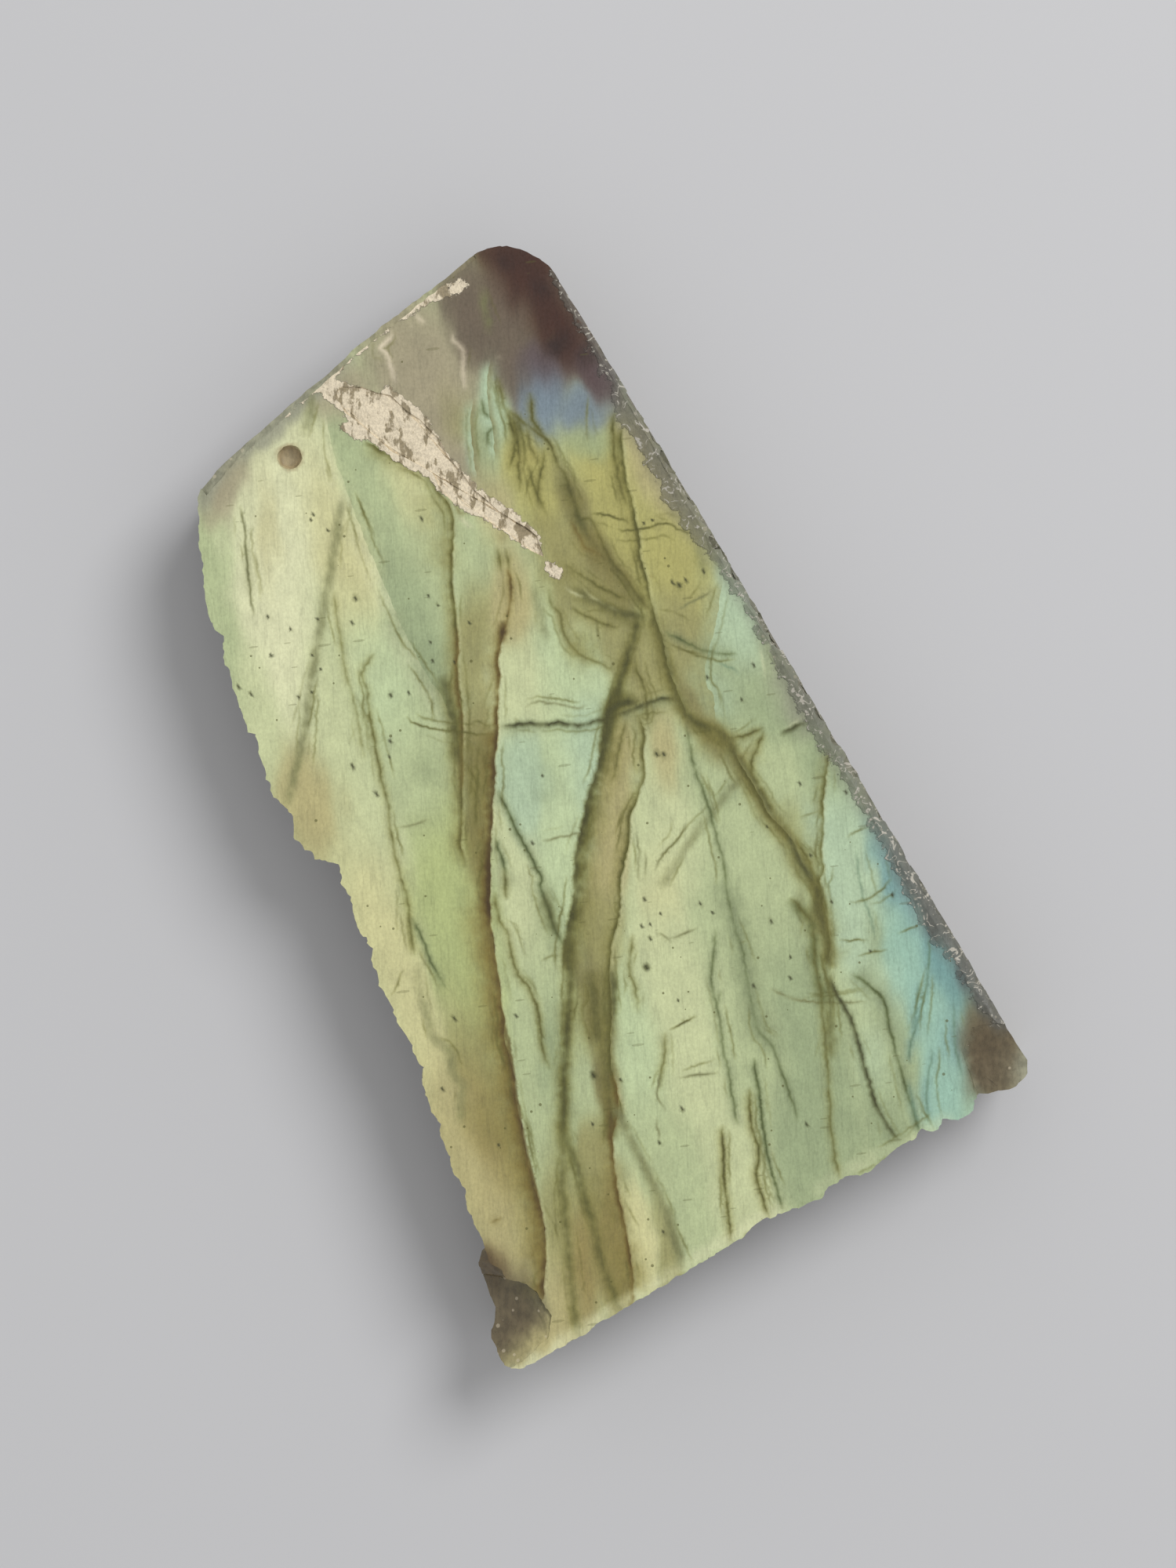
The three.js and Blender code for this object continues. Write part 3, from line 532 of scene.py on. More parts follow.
LOWER_MARKS = [
    Mark("olive line", [
        (1.7, -8.3), (1.38, -8.85), (0.6, -9.9), (0.46, -10.54), (0.08, -11.54), (-0.3, -12.08),
    ], 0.6),
    Mark("faint line", [(0.77, -11.15), (0.15, -11.8)]),
    Mark("olive line", [
        (0.6, -13.46), (-0.08, -14.4), (-0.85, -15.3), (-1.3, -16),
    ], 0.6),
    Mark("hair crack", [(0.6, -13.5), (1.08, -13.58), (1.54, -13.6), (2.35, -13.58)], 1.2),
    Mark("green line", [
        (5.54, -10.3), (4.77, -11.3), (4.08, -12.2), (3.77, -12.7), (3.4, -13.9), (3, -14.9),
        (2.6, -15.8), (2.1, -17.2), (1.5, -18.7), (1.15, -19.6),
    ], 0.7),
    Mark("green line", [(4.15, -13.15), (3.6, -13.6), (3.4, -13.9)]),
    Mark("faint line", [(2.7, -8.9), (3.08, -9.4), (3.1, -9.85)], 1.3),
    Mark("faint line", [(3.15, -9.54), (4.77, -9.9)], 1.2),
    Mark("green line", [
        (9.6, -0.6), (9.15, -2), (8.77, -3), (8.58, -4.08), (8.15, -5.77), (7.85, -6.7),
        (7.54, -7.77), (6.85, -9.23), (6.42, -10.6), (6, -12.15), (5.46, -13.46),
        (5, -14.77), (4.6, -16), (4.8, -17), (4.5, -18.4), (4.2, -20), (3.8, -21),
    ], 0.75),
    Mark("wide green shade", [
        (7.3, -8.3), (6.7, -9.7), (6.15, -11.7), (5.46, -13.46), (4.77, -15.4), (4.6, -17.6),
    ], 1.2),
    Mark("hair crack", [(6.08, -11.58), (6.5, -11.73)]),
    Mark("wide green shade", [(10.4, -4.5), (9.3, -4.92), (8.4, -5.1)], 0.5),
    Mark("soft grey line", [
        (-3.6, -15), (-3.8, -17), (-4.0, -19), (-4.2, -21), (-4.7, -23.2), (-5.1, -24.6),
    ], 1.5),
    Mark("olive line", [
        (0.5, -19), (0, -20), (-0.7, -21.3), (-1.4, -22.7), (-2.3, -24.6),
    ]),
    Mark("olive line", [
        (2.7, -18.1), (1.9, -19.6), (1.5, -21), (0.6, -22.4), (0, -24.6),
    ]),
    Mark("green line", [
        (3.7, -17), (3, -18.6), (2.4, -19.9), (1.6, -21.8), (1.2, -23.2), (0.85, -24.6),
    ], 1.2),
    Mark("faint line", [(6.15, -14.3), (6.7, -15.08), (7.23, -15.77)], 1.2),
    Mark("faint line", [(6.6, -15.2), (7.4, -15.9), (8.9, -16.9), (10.2, -17.6)], 1.2),
    Mark("faint line", [(-0.2, -15.8), (1.8, -16.7)], 1.2),
    Mark("faint line", [(-0.6, -15), (-1.1, -15.5), (-1.6, -16.2), (-1.5, -17)], 1.2),
    Mark("faint line", [(-2.1, -16.9), (-2.7, -18.2)], 1.2),
    Mark("brown line", [(-12.3, -17.2), (-11.5, -17.2)], 0.7),
    Mark("dark crack", [
        (9.2, -15.4), (9, -16.2), (9, -17.6), (8.6, -19.2), (8.35, -20), (8.15, -20.8),
        (7.7, -22.7), (7.8, -24.6),
    ]),
    Mark("wide green shade", [(10.4, -15.6), (10.8, -17), (10.7, -18.2), (10.2, -19.8)], 1.0),
    Mark("green line", [
        (10.2, -15.9), (10.8, -17.5), (10.8, -18.2), (10.3, -19.6), (9.5, -22.3), (8.8, -25),
    ]),
    Mark("teal crack", [
        (14.6, -16.3), (13.8, -17.6), (12.9, -18.7), (11.6, -20), (10.7, -20.7), (10.3, -21.5),
    ], 0.9),
    Mark("teal crack", [(13, -18), (11.9, -19.3), (11.2, -20.1)], 0.7),
    Mark("teal crack", [(11.8, -21.2), (11.3, -21.9), (10.4, -22.9), (9.5, -24.6)], 0.7),
    Mark("teal crack", [(13.9, -19.8), (13.1, -21.2), (12.7, -21.9), (12.2, -23.5)], 0.7),
    Mark("teal crack", [(9.9, -22), (9.4, -23.2), (8.9, -24.8)], 0.9),
    # Painted highlights along the bottom rim
    Mark("pale strip", [(-12.6, -24.2), (-9, -24.2), (-5, -24.2), (-1, -24.2), (1.4, -24.4)], 0.9),
    Mark("pale strip", [(2.4, -24.4), (5, -24.4), (8, -24.8), (11, -24.9)], 0.6),
]

RIGHT_VEIN_MARKS = [
    Mark("olive line", [
        (10.2, 17.9), (10.8, 16.3), (11.15, 15.3), (10.96, 14), (11.04, 13.5), (10.88, 12.8),
        (10.7, 11.8), (10.5, 11.1), (10.85, 10.9), (10.96, 10.5), (10.8, 9.2), (10.73, 8.15),
        (10.9, 7.3), (10.96, 6.15), (11.15, 5.08),
    ]),
    Mark("wide brown shade", [(10.9, 13.2), (10.8, 12.2), (10.5, 11.2)], 0.6),
    Mark("deep shade", [
        (10.95, 13.6), (10.75, 12.2), (10.45, 11), (10.4, 9.8), (10.6, 8.4), (10.8, 6.8),
        (11.1, 5.3),
    ], 0.5),
    Mark("olive band", [
        (11.1, 5.3), (10.8, 3.8), (10.4, 2.4), (10.1, 1.2), (9.9, 0), (10.2, -1.2),
        (10.8, -2.6), (11, -4), (10.95, -5.6), (10.9, -7), (11.1, -8.6), (10.95, -10.2),
        (10.9, -11.4), (10.4, -12.8), (10, -14), (9.2, -15.2),
    ], 1.1),
    Mark("deep shade", [(8.4, 1.6), (7.4, 1.9), (6.6, 1.9), (6, 1.4)], 1.0),
    Mark("olive band", [(9.4, -14.8), (8.6, -16.4), (7.8, -17.8), (6.9, -19.2)], 0.4),
    Mark("deep shade", [(10.4, 17.4), (10.1, 16.4), (9.7, 15.4)], 0.8),
    Mark("olive line", [(10.3, 17.6), (9.9, 16.2), (9.2, 14.9), (8.6, 13.8)], 0.9),
    Mark("olive line", [(9.9, 16.4), (9.4, 15.7), (8.6, 15.1)], 0.8),
    Mark("olive line", [(10.9, 15.2), (10.3, 14.4), (9.5, 13.6), (9, 12.6)], 0.8),
    Mark("olive line", [(9.7, 14.9), (9.3, 13.4), (9.1, 12)], 0.7),
    Mark("olive line", [(10.6, 16.6), (10.3, 15.6), (10.2, 14.6)], 0.7),
    Mark("wide brown shade", [(9.8, 15.8), (9.75, 14.5)], 0.5),
    Mark("brown line", [
        (10, 11.4), (9.96, 10.3), (9.92, 9.77), (10.15, 9.4), (10.6, 8.6),
    ], 0.8),
    Mark("wide brown shade", [(10.4, 10.8), (10.4, 9.4), (10.6, 7.8), (10.6, 5.6)], 0.75),
    Mark("olive line", [
        (14.85, 14.85), (14.15, 13.85), (13.54, 12.6), (13.15, 11.46), (12.9, 10.3),
    ]),
    Mark("olive edge", [
        (14.77, 14), (14.08, 12.77), (13.54, 11.6), (13.2, 10.46), (12.7, 9), (12.1, 7.8),
        (11.7, 6.5), (11.3, 5.4), (11.04, 4.23), (10.7, 3.15), (10.35, 2.15), (10.15, 1.08),
        (9.96, -0.08), (9.85, -0.54),
    ], 1.1),
    Mark("hair crack", [(11, 11.1), (11.7, 10.6), (12.2, 10.1), (12.6, 9.5)]),
    Mark("hair crack", [
        (11.77, 9.7), (12.2, 9.3), (12.77, 9.08), (13.3, 8.85), (13.9, 8.7), (14.3, 8.4),
        (14.54, 7.9), (15.3, 7.15),
    ]),
    Mark("hair crack", [(13.85, 9.2), (14.3, 8.6)]),
    Mark("hair crack", [(10.77, 8.15), (11.3, 7.85)]),
    Mark("hair crack", [(11.08, 6.9), (11.85, 6.92)]),
    Mark("brown line", [(11.95, 6.9), (12.15, 6.5)], 0.7),
    Mark("soft grey line", [(15, 7.1), (14.8, 6.4), (14.5, 5.7), (14.2, 5)]),
    Mark("hair crack", [(11.5, 5), (11.85, 4.7), (12.15, 4.45)]),
    Mark("faint line", [(12.2, 4.5), (14.6, 4.42)], 1.4),
    Mark("hair crack", [(12.08, 4.54), (12.6, 3.7)]),
    Mark("green line", [
        (11.08, 4), (11.7, 3.08), (12.3, 2.15), (13, 1.46), (13.77, 1.08),
    ]),
    Mark("hair crack", [(11.15, 2.9), (11.54, 2.54), (12.4, 1.8)]),
    Mark("teal line", [(12.5, 1.46), (12.77, 1), (13.15, 0.4), (13.3, -0.08)], 0.8),
    Mark("soft grey line", [(6.65, 9.6), (6.5, 8.7), (6.2, 7.8), (5.8, 6.4)]),
    Mark("olive line", [
        (7.3, 9), (6.95, 8.2), (7.1, 7.5), (6.7, 6.3), (6.85, 5.2), (7.6, 4.1), (7.9, 3.5),
    ], 0.55),
    Mark("hair crack", [(8.08, 6.96), (8.6, 6.65)]),
    Mark("hair crack", [(8.6, 6.3), (8.2, 5.6), (8.1, 5.2)]),
    Mark("zone edge", [
        (15.2, 4.7), (14.46, 3.9), (13.7, 3), (12.7, 2.08), (12, 1.3), (11.54, 0.46),
        (11.6, -0.08), (11.15, -1), (10.9, -1.46),
    ]),
    Mark("olive band", [
        (9.85, -0.54), (10.3, -1.1), (10.8, -1.9), (11.05, -2.6), (11.1, -3.4),
    ], 0.9),
    Mark("olive line", [(11.04, -2.23), (11.3, -2.54), (11.77, -2.73), (12.3, -2.8), (13, -2.92)]),
    Mark("wide olive shade", [(10.1, -1.2), (10.6, -2.4), (11, -3.4)], 1.2),
    Mark("wide brown shade", [(11.5, -3), (11.6, -3.4), (11.3, -4.2)], 0.9),
    Mark("olive line", [
        (12.85, -3), (12.15, -3.54), (11.7, -3.9), (11.3, -4.4), (11.08, -4.9),
    ]),
    Mark("soft grey line", [(10.7, -2.6), (10.6, -4), (10.75, -5.6), (10.8, -7.4)], 0.9),
    Mark("olive edge", [
        (11, -3.1), (10.92, -4), (10.96, -5.7), (10.85, -6.77), (11.08, -7.85),
        (11.2, -8.85), (10.92, -9.85), (10.96, -10.85), (11.08, -11.23),
    ], 1.1),
    Mark("dark crack", [(11.1, -8.2), (10.95, -9.6), (11, -11)], 0.9),
    Mark("olive line", [(11.3, -8.4), (11.35, -9.6), (11.2, -10.6)], 0.8),
    Mark("wide olive shade", [
        (11.3, -6.4), (11.5, -8), (11.3, -9.4), (11.2, -10.6),
    ], 0.6),
    Mark("hair crack", [(9.77, -0.9), (9.92, -1.7)]),
    Mark("olive edge", [
        (15.2, -5.54), (14.3, -6.77), (13.6, -7.6), (12.85, -8.85), (12.15, -9.77),
        (11.7, -10.7), (11.15, -11.23), (10.7, -12.46), (10.3, -13.46), (9.92, -14.3),
        (9.3, -15),
    ], 0.8),
    Mark("hair crack", [(11.77, -10.77), (11.54, -11.23), (11.3, -11.7)]),
    Mark("green band", [
        (9.5, -10.9), (9.7, -12.15), (9.85, -12.6), (9.46, -13.46), (8.92, -14.4), (8.4, -15.8),
        (7.9, -16.8),
    ]),
    Mark("olive line", [
        (9.85, -12.7), (9.4, -13.6), (8.8, -14.7), (8.3, -16), (7.6, -17.4), (6.8, -19), (5.8, -21),
        (4.8, -22.9), (4.1, -24.8),
    ], 0.65),
    Mark("deep shade", [(10.6, -11.6), (10.3, -12.6), (10, -13.6)], 0.7),
    Mark("olive line", [(9.5, -10.9), (9.75, -12), (9.8, -12.9)], 0.8),
    Mark("wide olive shade", [(10.5, -11.8), (10.2, -13), (10, -13.8)], 0.8),
    Mark("soft grey line", [(10.4, -10.46), (9.92, -11.4), (9.6, -11.85)]),
    Mark("hair crack", [(9.92, -13.08), (10.08, -13.77)]),
    Mark("wide olive shade", [(9.92, -14.4), (10.08, -15.3)], 0.5),
    Mark("teal line", [
        (13.7, -10.6), (13.08, -12), (12.7, -13), (12.6, -13.6), (12.15, -15.08),
    ], 0.8),
    Mark("teal line", [(14.9, -11.54), (14.4, -12.7), (14.15, -13.2)], 0.8),
    Mark("hair crack", [(13.7, -6.85), (13.04, -7.54)]),
    Mark("hair crack", [(12.08, -7.7), (12.7, -7.92), (13.15, -8)]),
    Mark("hair crack", [(13.54, -9.92), (14.2, -9.88), (15, -10.08)], 0.8),
    Mark("hair crack", [
        (11.9, -12.77), (12.54, -13), (13.15, -13.15), (13.77, -13.08), (14.46, -12.85),
    ], 0.8),
    Mark("hair crack", [(10.46, -14.15), (11.6, -14.77), (11.9, -15)], 0.8),
    Mark("hair crack", [(10.85, -15.3), (11.6, -15.54), (12.46, -15.9)], 0.8),
    Mark("hair crack", [(13.15, -15.4), (13.85, -15.54), (14.6, -15.7)], 0.8),
    Mark("dark crack", [(13.4, -3.6), (14.3, -3.7), (15.15, -3.73)]),
    # Painted glints beside the crack and on the teal side
    Mark("pale line", [(13.7, -3.5), (15.1, -3.5)]),
    Mark("pale line", [(14.3, 0.6), (14.2, 0.1)]),
    Mark("pale line", [(14.9, 0.8), (14.5, -0.3), (14.2, -0.85)]),
]

NARROW_END_MARKS = [
    Mark("soft grey line", [(12.6, 23.9), (12.1, 23), (11.7, 22), (11.3, 21.4)], 1.3),
    Mark("rust blot", [(13.2, 19.6), (13.9, 19.2), (14.6, 19.4), (15.1, 19.9)], 0.9),
    Mark("rust blot", [(14.6, 18.6), (15.1, 18), (15.4, 17.2)], 0.7),
    Mark("rust blot", [(14.2, 22.6), (14.9, 22.2), (15.1, 21.4)], 0.5),
    Mark("rust blot", [(13.3, 24.6), (14, 24.3), (14.4, 23.6)], 0.4),
    Mark("sliver edge", [(9.1, 19.2), (8.3, 18.2), (7.8, 17.3), (7, 15.5)]),
    Mark("sliver edge", [(10.8, 20.4), (10, 19.4), (9.4, 18.2), (9.1, 17.4), (8.3, 15.8)], 1.2),
    Mark("green line", [(9.4, 19), (9.2, 18.3), (9.3, 17.8)], 1.2),
    Mark("green line", [(9.4, 17.4), (8.7, 17.2), (8.5, 16.5)], 1.1),
    Mark("olive line", [(10.7, 19.5), (10.2, 18), (10.1, 17.3), (9.7, 16.1)], 0.9),
    Mark("olive line", [(11.7, 18), (11.1, 16.7), (11.1, 16), (11.2, 15.5)]),
    Mark("faint line", [(14.2, 16.3), (13.4, 15.2), (12.8, 14.1)]),
    Mark("faint line", [(15, 15), (14.2, 14.1)]),
    Mark("brown line", [(5.15, 15.4), (5.4, 15), (5.46, 14.46), (6, 14.3)], 0.6),
    Mark("wide brown shade", [(6.6, 12.8), (6.5, 11.9)], 0.5),
    Mark("wide brown shade", [(8.6, 12.8), (8.7, 10.6), (8.4, 8.4)], 0.3),
    Mark("wide olive shade", [(7.6, 10.2), (8.4, 8.6), (9.3, 7), (10.4, 5.4)], 0.6),
    Mark("deep shade", [(8.2, 8.4), (9, 7), (9.8, 5.9), (10.8, 5)], 0.6),
    # Painted glints in the rough band
    Mark("pale line", [(7.9, 8.7), (8.3, 7.9), (8.7, 7.4)], 0.8),
    Mark("pale line", [(8.7, 8), (9, 7.2), (9.3, 6.6)], 0.7),
    Mark("pale line", [(9.3, 6.6), (9.7, 6)], 0.8),
    Mark("olive line", [(7.6, 7.6), (8.2, 6.6), (8.9, 5.7), (9.4, 5.3)], 0.7),
    Mark("olive line", [(8.6, 9.6), (9.2, 8.2), (9.9, 7), (10.5, 6.2)], 0.7),
    Mark("wide olive shade", [(7.1, 6.4), (7.2, 5.4), (7.6, 4.4)], 1.0),
    Mark("crust fleck", [(7.3, 24.5), (7.1, 24), (6.3, 23.8), (6.5, 23.5), (6.3, 22.8), (6, 21.7)]),
    Mark("crust fleck", [(8.8, 24.6), (8.8, 24), (9.1, 23.6)]),
    Mark("crust fleck", [(8.2, 24.1), (8.4, 23.9)]),
    Mark("crust fleck", [
        (10.05, 22.7), (9.8, 22.2), (9.9, 21.6), (9.6, 21.1), (9.1, 20.2), (8.9, 19.6),
    ], 0.8),
    Mark("crust fleck", [(11.1, 20.5), (11.3, 20.3), (11.4, 20.5)], 0.8),
    Mark("crust fleck", [(2.7, 21.3), (3.3, 20.5)], 0.8),
    Mark("crust fleck", [(8.1, 9.4), (8.27, 9.1)], 0.9),
    Mark("crust fleck", [(5.2, 14.6), (5.4, 13.9), (5.7, 13.4)], 0.5),
    Mark("crust fleck", [(7.7, 9.77), (7.85, 9.75)], 0.9),
    Mark("crust fleck", [(6.85, 10.95), (6.95, 10.85)], 0.8),
    Mark("crust fleck", [(9.85, 5.35), (10.2, 5.4)], 0.6),
    Mark("crust fleck", [(-12.5, -20.8), (-12.4, -20.95)], 1.0),
]
MARKS = (
    UPPER_LEFT_MARKS + LENS_MARKS + MAIN_VEIN_MARKS + CENTRE_CRACKS + DIAGONAL_MARKS
    + LOWER_MARKS + RIGHT_VEIN_MARKS + NARROW_END_MARKS
)

# Dark grains in the face, each at a place and with a radius
SPECKS = [
    (-1, 18.35, 0.08), (-1.25, 18.2, 0.08), (-0.8, 17.3, 0.07), (-5.7, 15.15, 0.09),
    (3.6, 15.3, 0.08), (-6.6, 13.4, 0.07), (-6.5, 10.8, 0.08), (-5.8, 10.7, 0.07),
    (-8.85, 12.9, 0.08), (-8.5, 12.2, 0.08), (-6, 6.4, 0.1), (-5.7, 4.5, 0.07),
    (-8.3, -7.3, 0.09), (-10.7, -10.05, 0.09), (-9.75, -14, 0.08), (-5.1, -15.6, 0.08),
    (-0.8, -17.3, 0.08), (-2.7, -18.2, 0.09), (-4.9, -22.15, 0.08), (4.2, -21.3, 0.08),
    (-5.05, 14, 0.07), (-3.6, 13.7, 0.06), (-1.4, 13.6, 0.11), (-2.2, 12.65, 0.06),
    (-4.8, 12.3, 0.07), (-4.8, 11.45, 0.07), (1.85, 11.8, 0.07), (0.3, 8.85, 0.08),
    (-2.45, 8.45, 0.11), (-1.6, 8.1, 0.07), (-4.15, 5.8, 0.06), (-3.7, 6.45, 0.06),
    (1.2, 8.2, 0.07), (2.9, 9.5, 0.07), (0.7, 9.7, 0.06), (2, 11.1, 0.06), (2, 0.92, 0.07),
    (-0.23, -1.77, 0.08), (7.55, -1.2, 0.12), (7.85, -1.4, 0.12), (11.8, 0.8, 0.08),
    (12.7, -1.1, 0.08), (14.15, 0.08, 0.07), (13.04, 5.54, 0.14), (12.8, 5.85, 0.08),
    (13.46, 5.6, 0.07), (14.46, 5.46, 0.08), (13.15, 9.2, 0.07), (13.6, 9.1, 0.07),
    (1.42, -10.2, 0.17), (2.35, -9.08, 0.09), (2.3, -8.3, 0.07), (2.73, -8.42, 0.07),
    (3.15, -7.2, 0.09), (3.46, -8.23, 0.07), (-5.54, -8.85, 0.08), (5.46, -8.88, 0.09),
    (5.75, -9.57, 0.08), (1.92, -12.5, 0.08), (-3.77, -13.5, 0.14), (-2.7, -14.4, 0.08),
    (5.6, -13.85, 0.08), (10.42, -7.3, 0.07), (8.08, -11.5, 0.09), (7.96, -13.6, 0.08),
    (13, -6.3, 0.07), (14.77, -7.9, 0.08), (14.04, -13.6, 0.08), (11.23, -12.3, 0.07),
    (7.4, -14.5, 0.08), (11.6, -15.5, 0.08), (11.54, -9.7, 0.07), (-12.6, -22.75, 0.08),
    (15.5, -21.3, 0.16),
]

# A cover is a course of places over the stone, each with the half-width of the cover there.
CRUST_COURSES = [
    [
        (3.0, 23.7, 0.35), (3.6, 22.4, 0.5), (4.1, 21.2, 0.75), (4.8, 19.8, 1.0), (5.3, 18.4, 0.9),
        (5.7, 17.2, 0.6), (5.9, 16, 0.55), (6.2, 15, 0.45), (6.7, 14, 0.4), (7.3, 12.8, 0.4),
        (7.7, 11.8, 0.3), (7.9, 11.1, 0.1),
    ],
    [(5.5, 21.6, 0.15), (5.9, 20.4, 0.2), (6.3, 19, 0.1)],
    [(2.7, 21.3, 0.06), (3.3, 20.5, 0.08)],
    [(7.9, 9.8, 0.05), (8.2, 9.2, 0.08)],
    [
        (-3.6, 23.05, 0.04), (-0.7, 23.5, 0.08), (1.4, 23.8, 0.05), (3, 24.05, 0.15),
        (5, 24.5, 0.2), (7.4, 24.8, 0.16), (9.2, 24.9, 0.22), (10.4, 24.7, 0.2),
        (10.9, 24.4, 0.08), (11.9, 24.45, 0.06),
    ],
]
CHIPPED_COURSES = [
    [
        (16.1, 22, 0.05), (15.95, 16, 0.1), (15.7, 14.4, 0.4), (15.8, 12, 0.4), (15.7, 9.6, 0.5),
        (15.8, 6.8, 0.3), (15.9, 3, 0.1), (15.8, 0, 0.2), (15.7, -3.6, 0.3), (15.7, -7, 0.25),
        (15.6, -10.6, 0.2), (15.5, -13.6, 0.3), (15.4, -15.8, 0.4), (15.5, -18, 0.2),
        (15.5, -20.4, 0.2), (15.6, -22.2, 0.05),
    ],
]
BROWN_COURSES = [
    [(-13.8, -18.2, 0.6), (-14.3, -20.2, 1.3), (-14.0, -22, 1.9), (-14.2, -23.2, 1.8)],
    [(14.6, -21.8, 0.6), (14.3, -23.2, 1.4), (14.2, -24.6, 1.2)],
]
PIT_CENTRE = (-0.5, 21.5)
PIT_RADIUS = 0.62


def screen_colour(name, description, red, green, blue):
    """A colour property, given as it looks on a screen, from 0 to 255."""
    return bpy.props.FloatVectorProperty(
        name=name, description=description, subtype="COLOR_GAMMA", size=3, min=0, max=1,
        default=(red / 255, green / 255, blue / 255),
    )


def length(name, description, millimetres):
    """A length property in metres, with its default given in millimetres."""
    return bpy.props.FloatProperty(
        name=name, description=description, default=millimetres * MM, min=0, precision=5,
        unit="LENGTH",
    )


def share(name, description, default):
    """A property from 0 to 1."""
    return bpy.props.FloatProperty(
        name=name, description=description, default=default, min=0, max=1, subtype="FACTOR",
    )


class StoneColours(bpy.types.PropertyGroup):
    """The colours of the stone, as they look on a screen."""

    cream: screen_colour("Cream", "Palest flash, towards the narrow end", 230, 231, 187)
    pale_leaf: screen_colour("Pale leaf", "Pale yellow-green flash", 206, 213, 163)
    butter: screen_colour("Butter", "Pale yellow flash", 214, 210, 154)
    leaf: screen_colour("Leaf", "Green flash of most of the face", 187, 199, 150)
    mint_leaf: screen_colour("Mint leaf", "Pale cool green flash", 198, 214, 166)
    meadow: screen_colour("Meadow", "Deeper green flash", 182, 193, 128)
    sage: screen_colour("Sage", "Grey-green flash", 159, 174, 131)
    mint: screen_colour("Mint", "Pale teal-green flash", 184, 206, 171)
    teal: screen_colour("Teal", "Teal flash by the long edge", 158, 197, 177)
    sea: screen_colour("Sea", "Blue-teal flash", 128, 170, 168)
    deep_sea: screen_colour("Deep sea", "Deepest teal flash", 113, 157, 156)
    dark_teal: screen_colour("Dark teal", "Cracks in the teal side", 96, 126, 98)
    mustard: screen_colour("Mustard", "Yellow flash on the right", 180, 174, 102)
    khaki: screen_colour("Khaki", "Dull green-brown body", 158, 154, 98)
    olive_gold: screen_colour("Olive gold", "Brown-yellow body", 152, 136, 78)
    olive: screen_colour("Olive", "Dark green-brown body", 128, 122, 74)
    straw: screen_colour("Straw", "Yellow-beige body", 188, 178, 124)
    beige: screen_colour("Beige", "Body with no flash", 166, 156, 127)
    stone_grey: screen_colour("Stone grey", "Greyish beige body", 156, 156, 134)
    blue: screen_colour("Blue", "Blue flash where it runs out", 122, 138, 150)
    violet: screen_colour("Violet", "Violet flash where it runs out", 84, 66, 68)
    rust: screen_colour("Rust", "Red-brown body at the round corner", 60, 27, 12)
    dark_rust: screen_colour("Dark rust", "Blots in the red-brown corner", 38, 18, 12)
    umber: screen_colour("Umber", "Brown-grey body", 106, 92, 76)
    clay: screen_colour("Clay", "Brown body of the bottom corners", 96, 82, 58)
    dark_clay: screen_colour("Dark clay", "Darkest of the bottom corner", 84, 62, 32)
    slate: screen_colour("Slate", "Dark margin by the teal side", 74, 84, 84)
    straw_brown: screen_colour("Straw brown", "Soft stain beside the veins", 136, 122, 58)
    brown: screen_colour("Brown", "Iron stain in the veins", 94, 74, 14)
    dark_brown: screen_colour("Dark brown", "Darkest vein filling", 64, 44, 2)
    olive_brown: screen_colour("Olive brown", "Soft dark shade beside cracks", 130, 124, 62)
    dark_olive: screen_colour("Dark olive", "Crack filling", 86, 84, 24)
    deep_olive: screen_colour("Deep olive", "Darkest cracks", 58, 60, 20)
    grey_green: screen_colour("Grey green", "Soft shade beside green lines", 128, 140, 100)
    dark_green: screen_colour("Dark green", "Green lines", 80, 92, 44)
    grey_olive: screen_colour("Grey olive", "Faint lines", 122, 124, 78)
    crust_light: screen_colour("Crust light", "Ridges of the crust", 234, 220, 192)
    # Painted shade in the crust's hollows
    crust_dark: screen_colour("Crust dark", "Hollows of the crust", 158, 144, 115)
    pit_brown: screen_colour("Pit brown", "Inside of the round pit", 164, 142, 104)
    margin: screen_colour("Margin", "Chipped margin along the sawn edge", 98, 96, 88)
    chip_pale: screen_colour("Chip pale", "Small curls in the chipped margin", 180, 175, 162)
    break_light: screen_colour("Break light", "Fresh cleavage steps", 150, 146, 122)
    break_dark: screen_colour("Break dark", "Deep parts of the breaks", 84, 80, 68)
    sawn: screen_colour("Sawn", "Sawn sides and back", 120, 115, 102)


class StoneSizes(bpy.types.PropertyGroup):
    """The fineness and relief of the stone's surface."""

    face_spacing: length("Face spacing", "Distance between points on the polished face", 0.21)
    wall_spacing: length("Wall spacing", "Longest edge on the breaks", 0.64)
    back_spacing: length("Back spacing", "Distance between points on the back", 0.6)
    break_relief: length("Break relief", "How deep the rough of the breaks goes", 0.22)
    corner_relief: length("Corner relief", "How deep the rough of the brown corners goes", 0.05)
    saw_relief: length("Saw relief", "How deep the saw marks go", 0.035)
    crust_relief: length("Crust relief", "Height of the lumps in the crust", 0.13)
    rim_wobble: length("Rim wobble", "How far the rim of the face strays", 0.07)
    vein_wobble: length("Vein wobble", "How far the veins stray to each side", 0.05)


class StoneFinish(bpy.types.PropertyGroup):
    """How strongly the markings show and how glossy the stone is."""

    mark_strength: share("Mark strength", "How strongly the veins and cracks show", 1.0)
    polish_roughness: share("Polish roughness", "Roughness of the polished face", 0.3)
    polish_coat: share("Polish coat", "Clear gloss over the polished face", 0.35)
    break_roughness: share("Break roughness", "Roughness of the breaks", 0.55)
    sawn_roughness: share("Sawn roughness", "Roughness of the sawn sides", 0.7)
    crust_roughness: share("Crust roughness", "Roughness of the crust", 0.9)


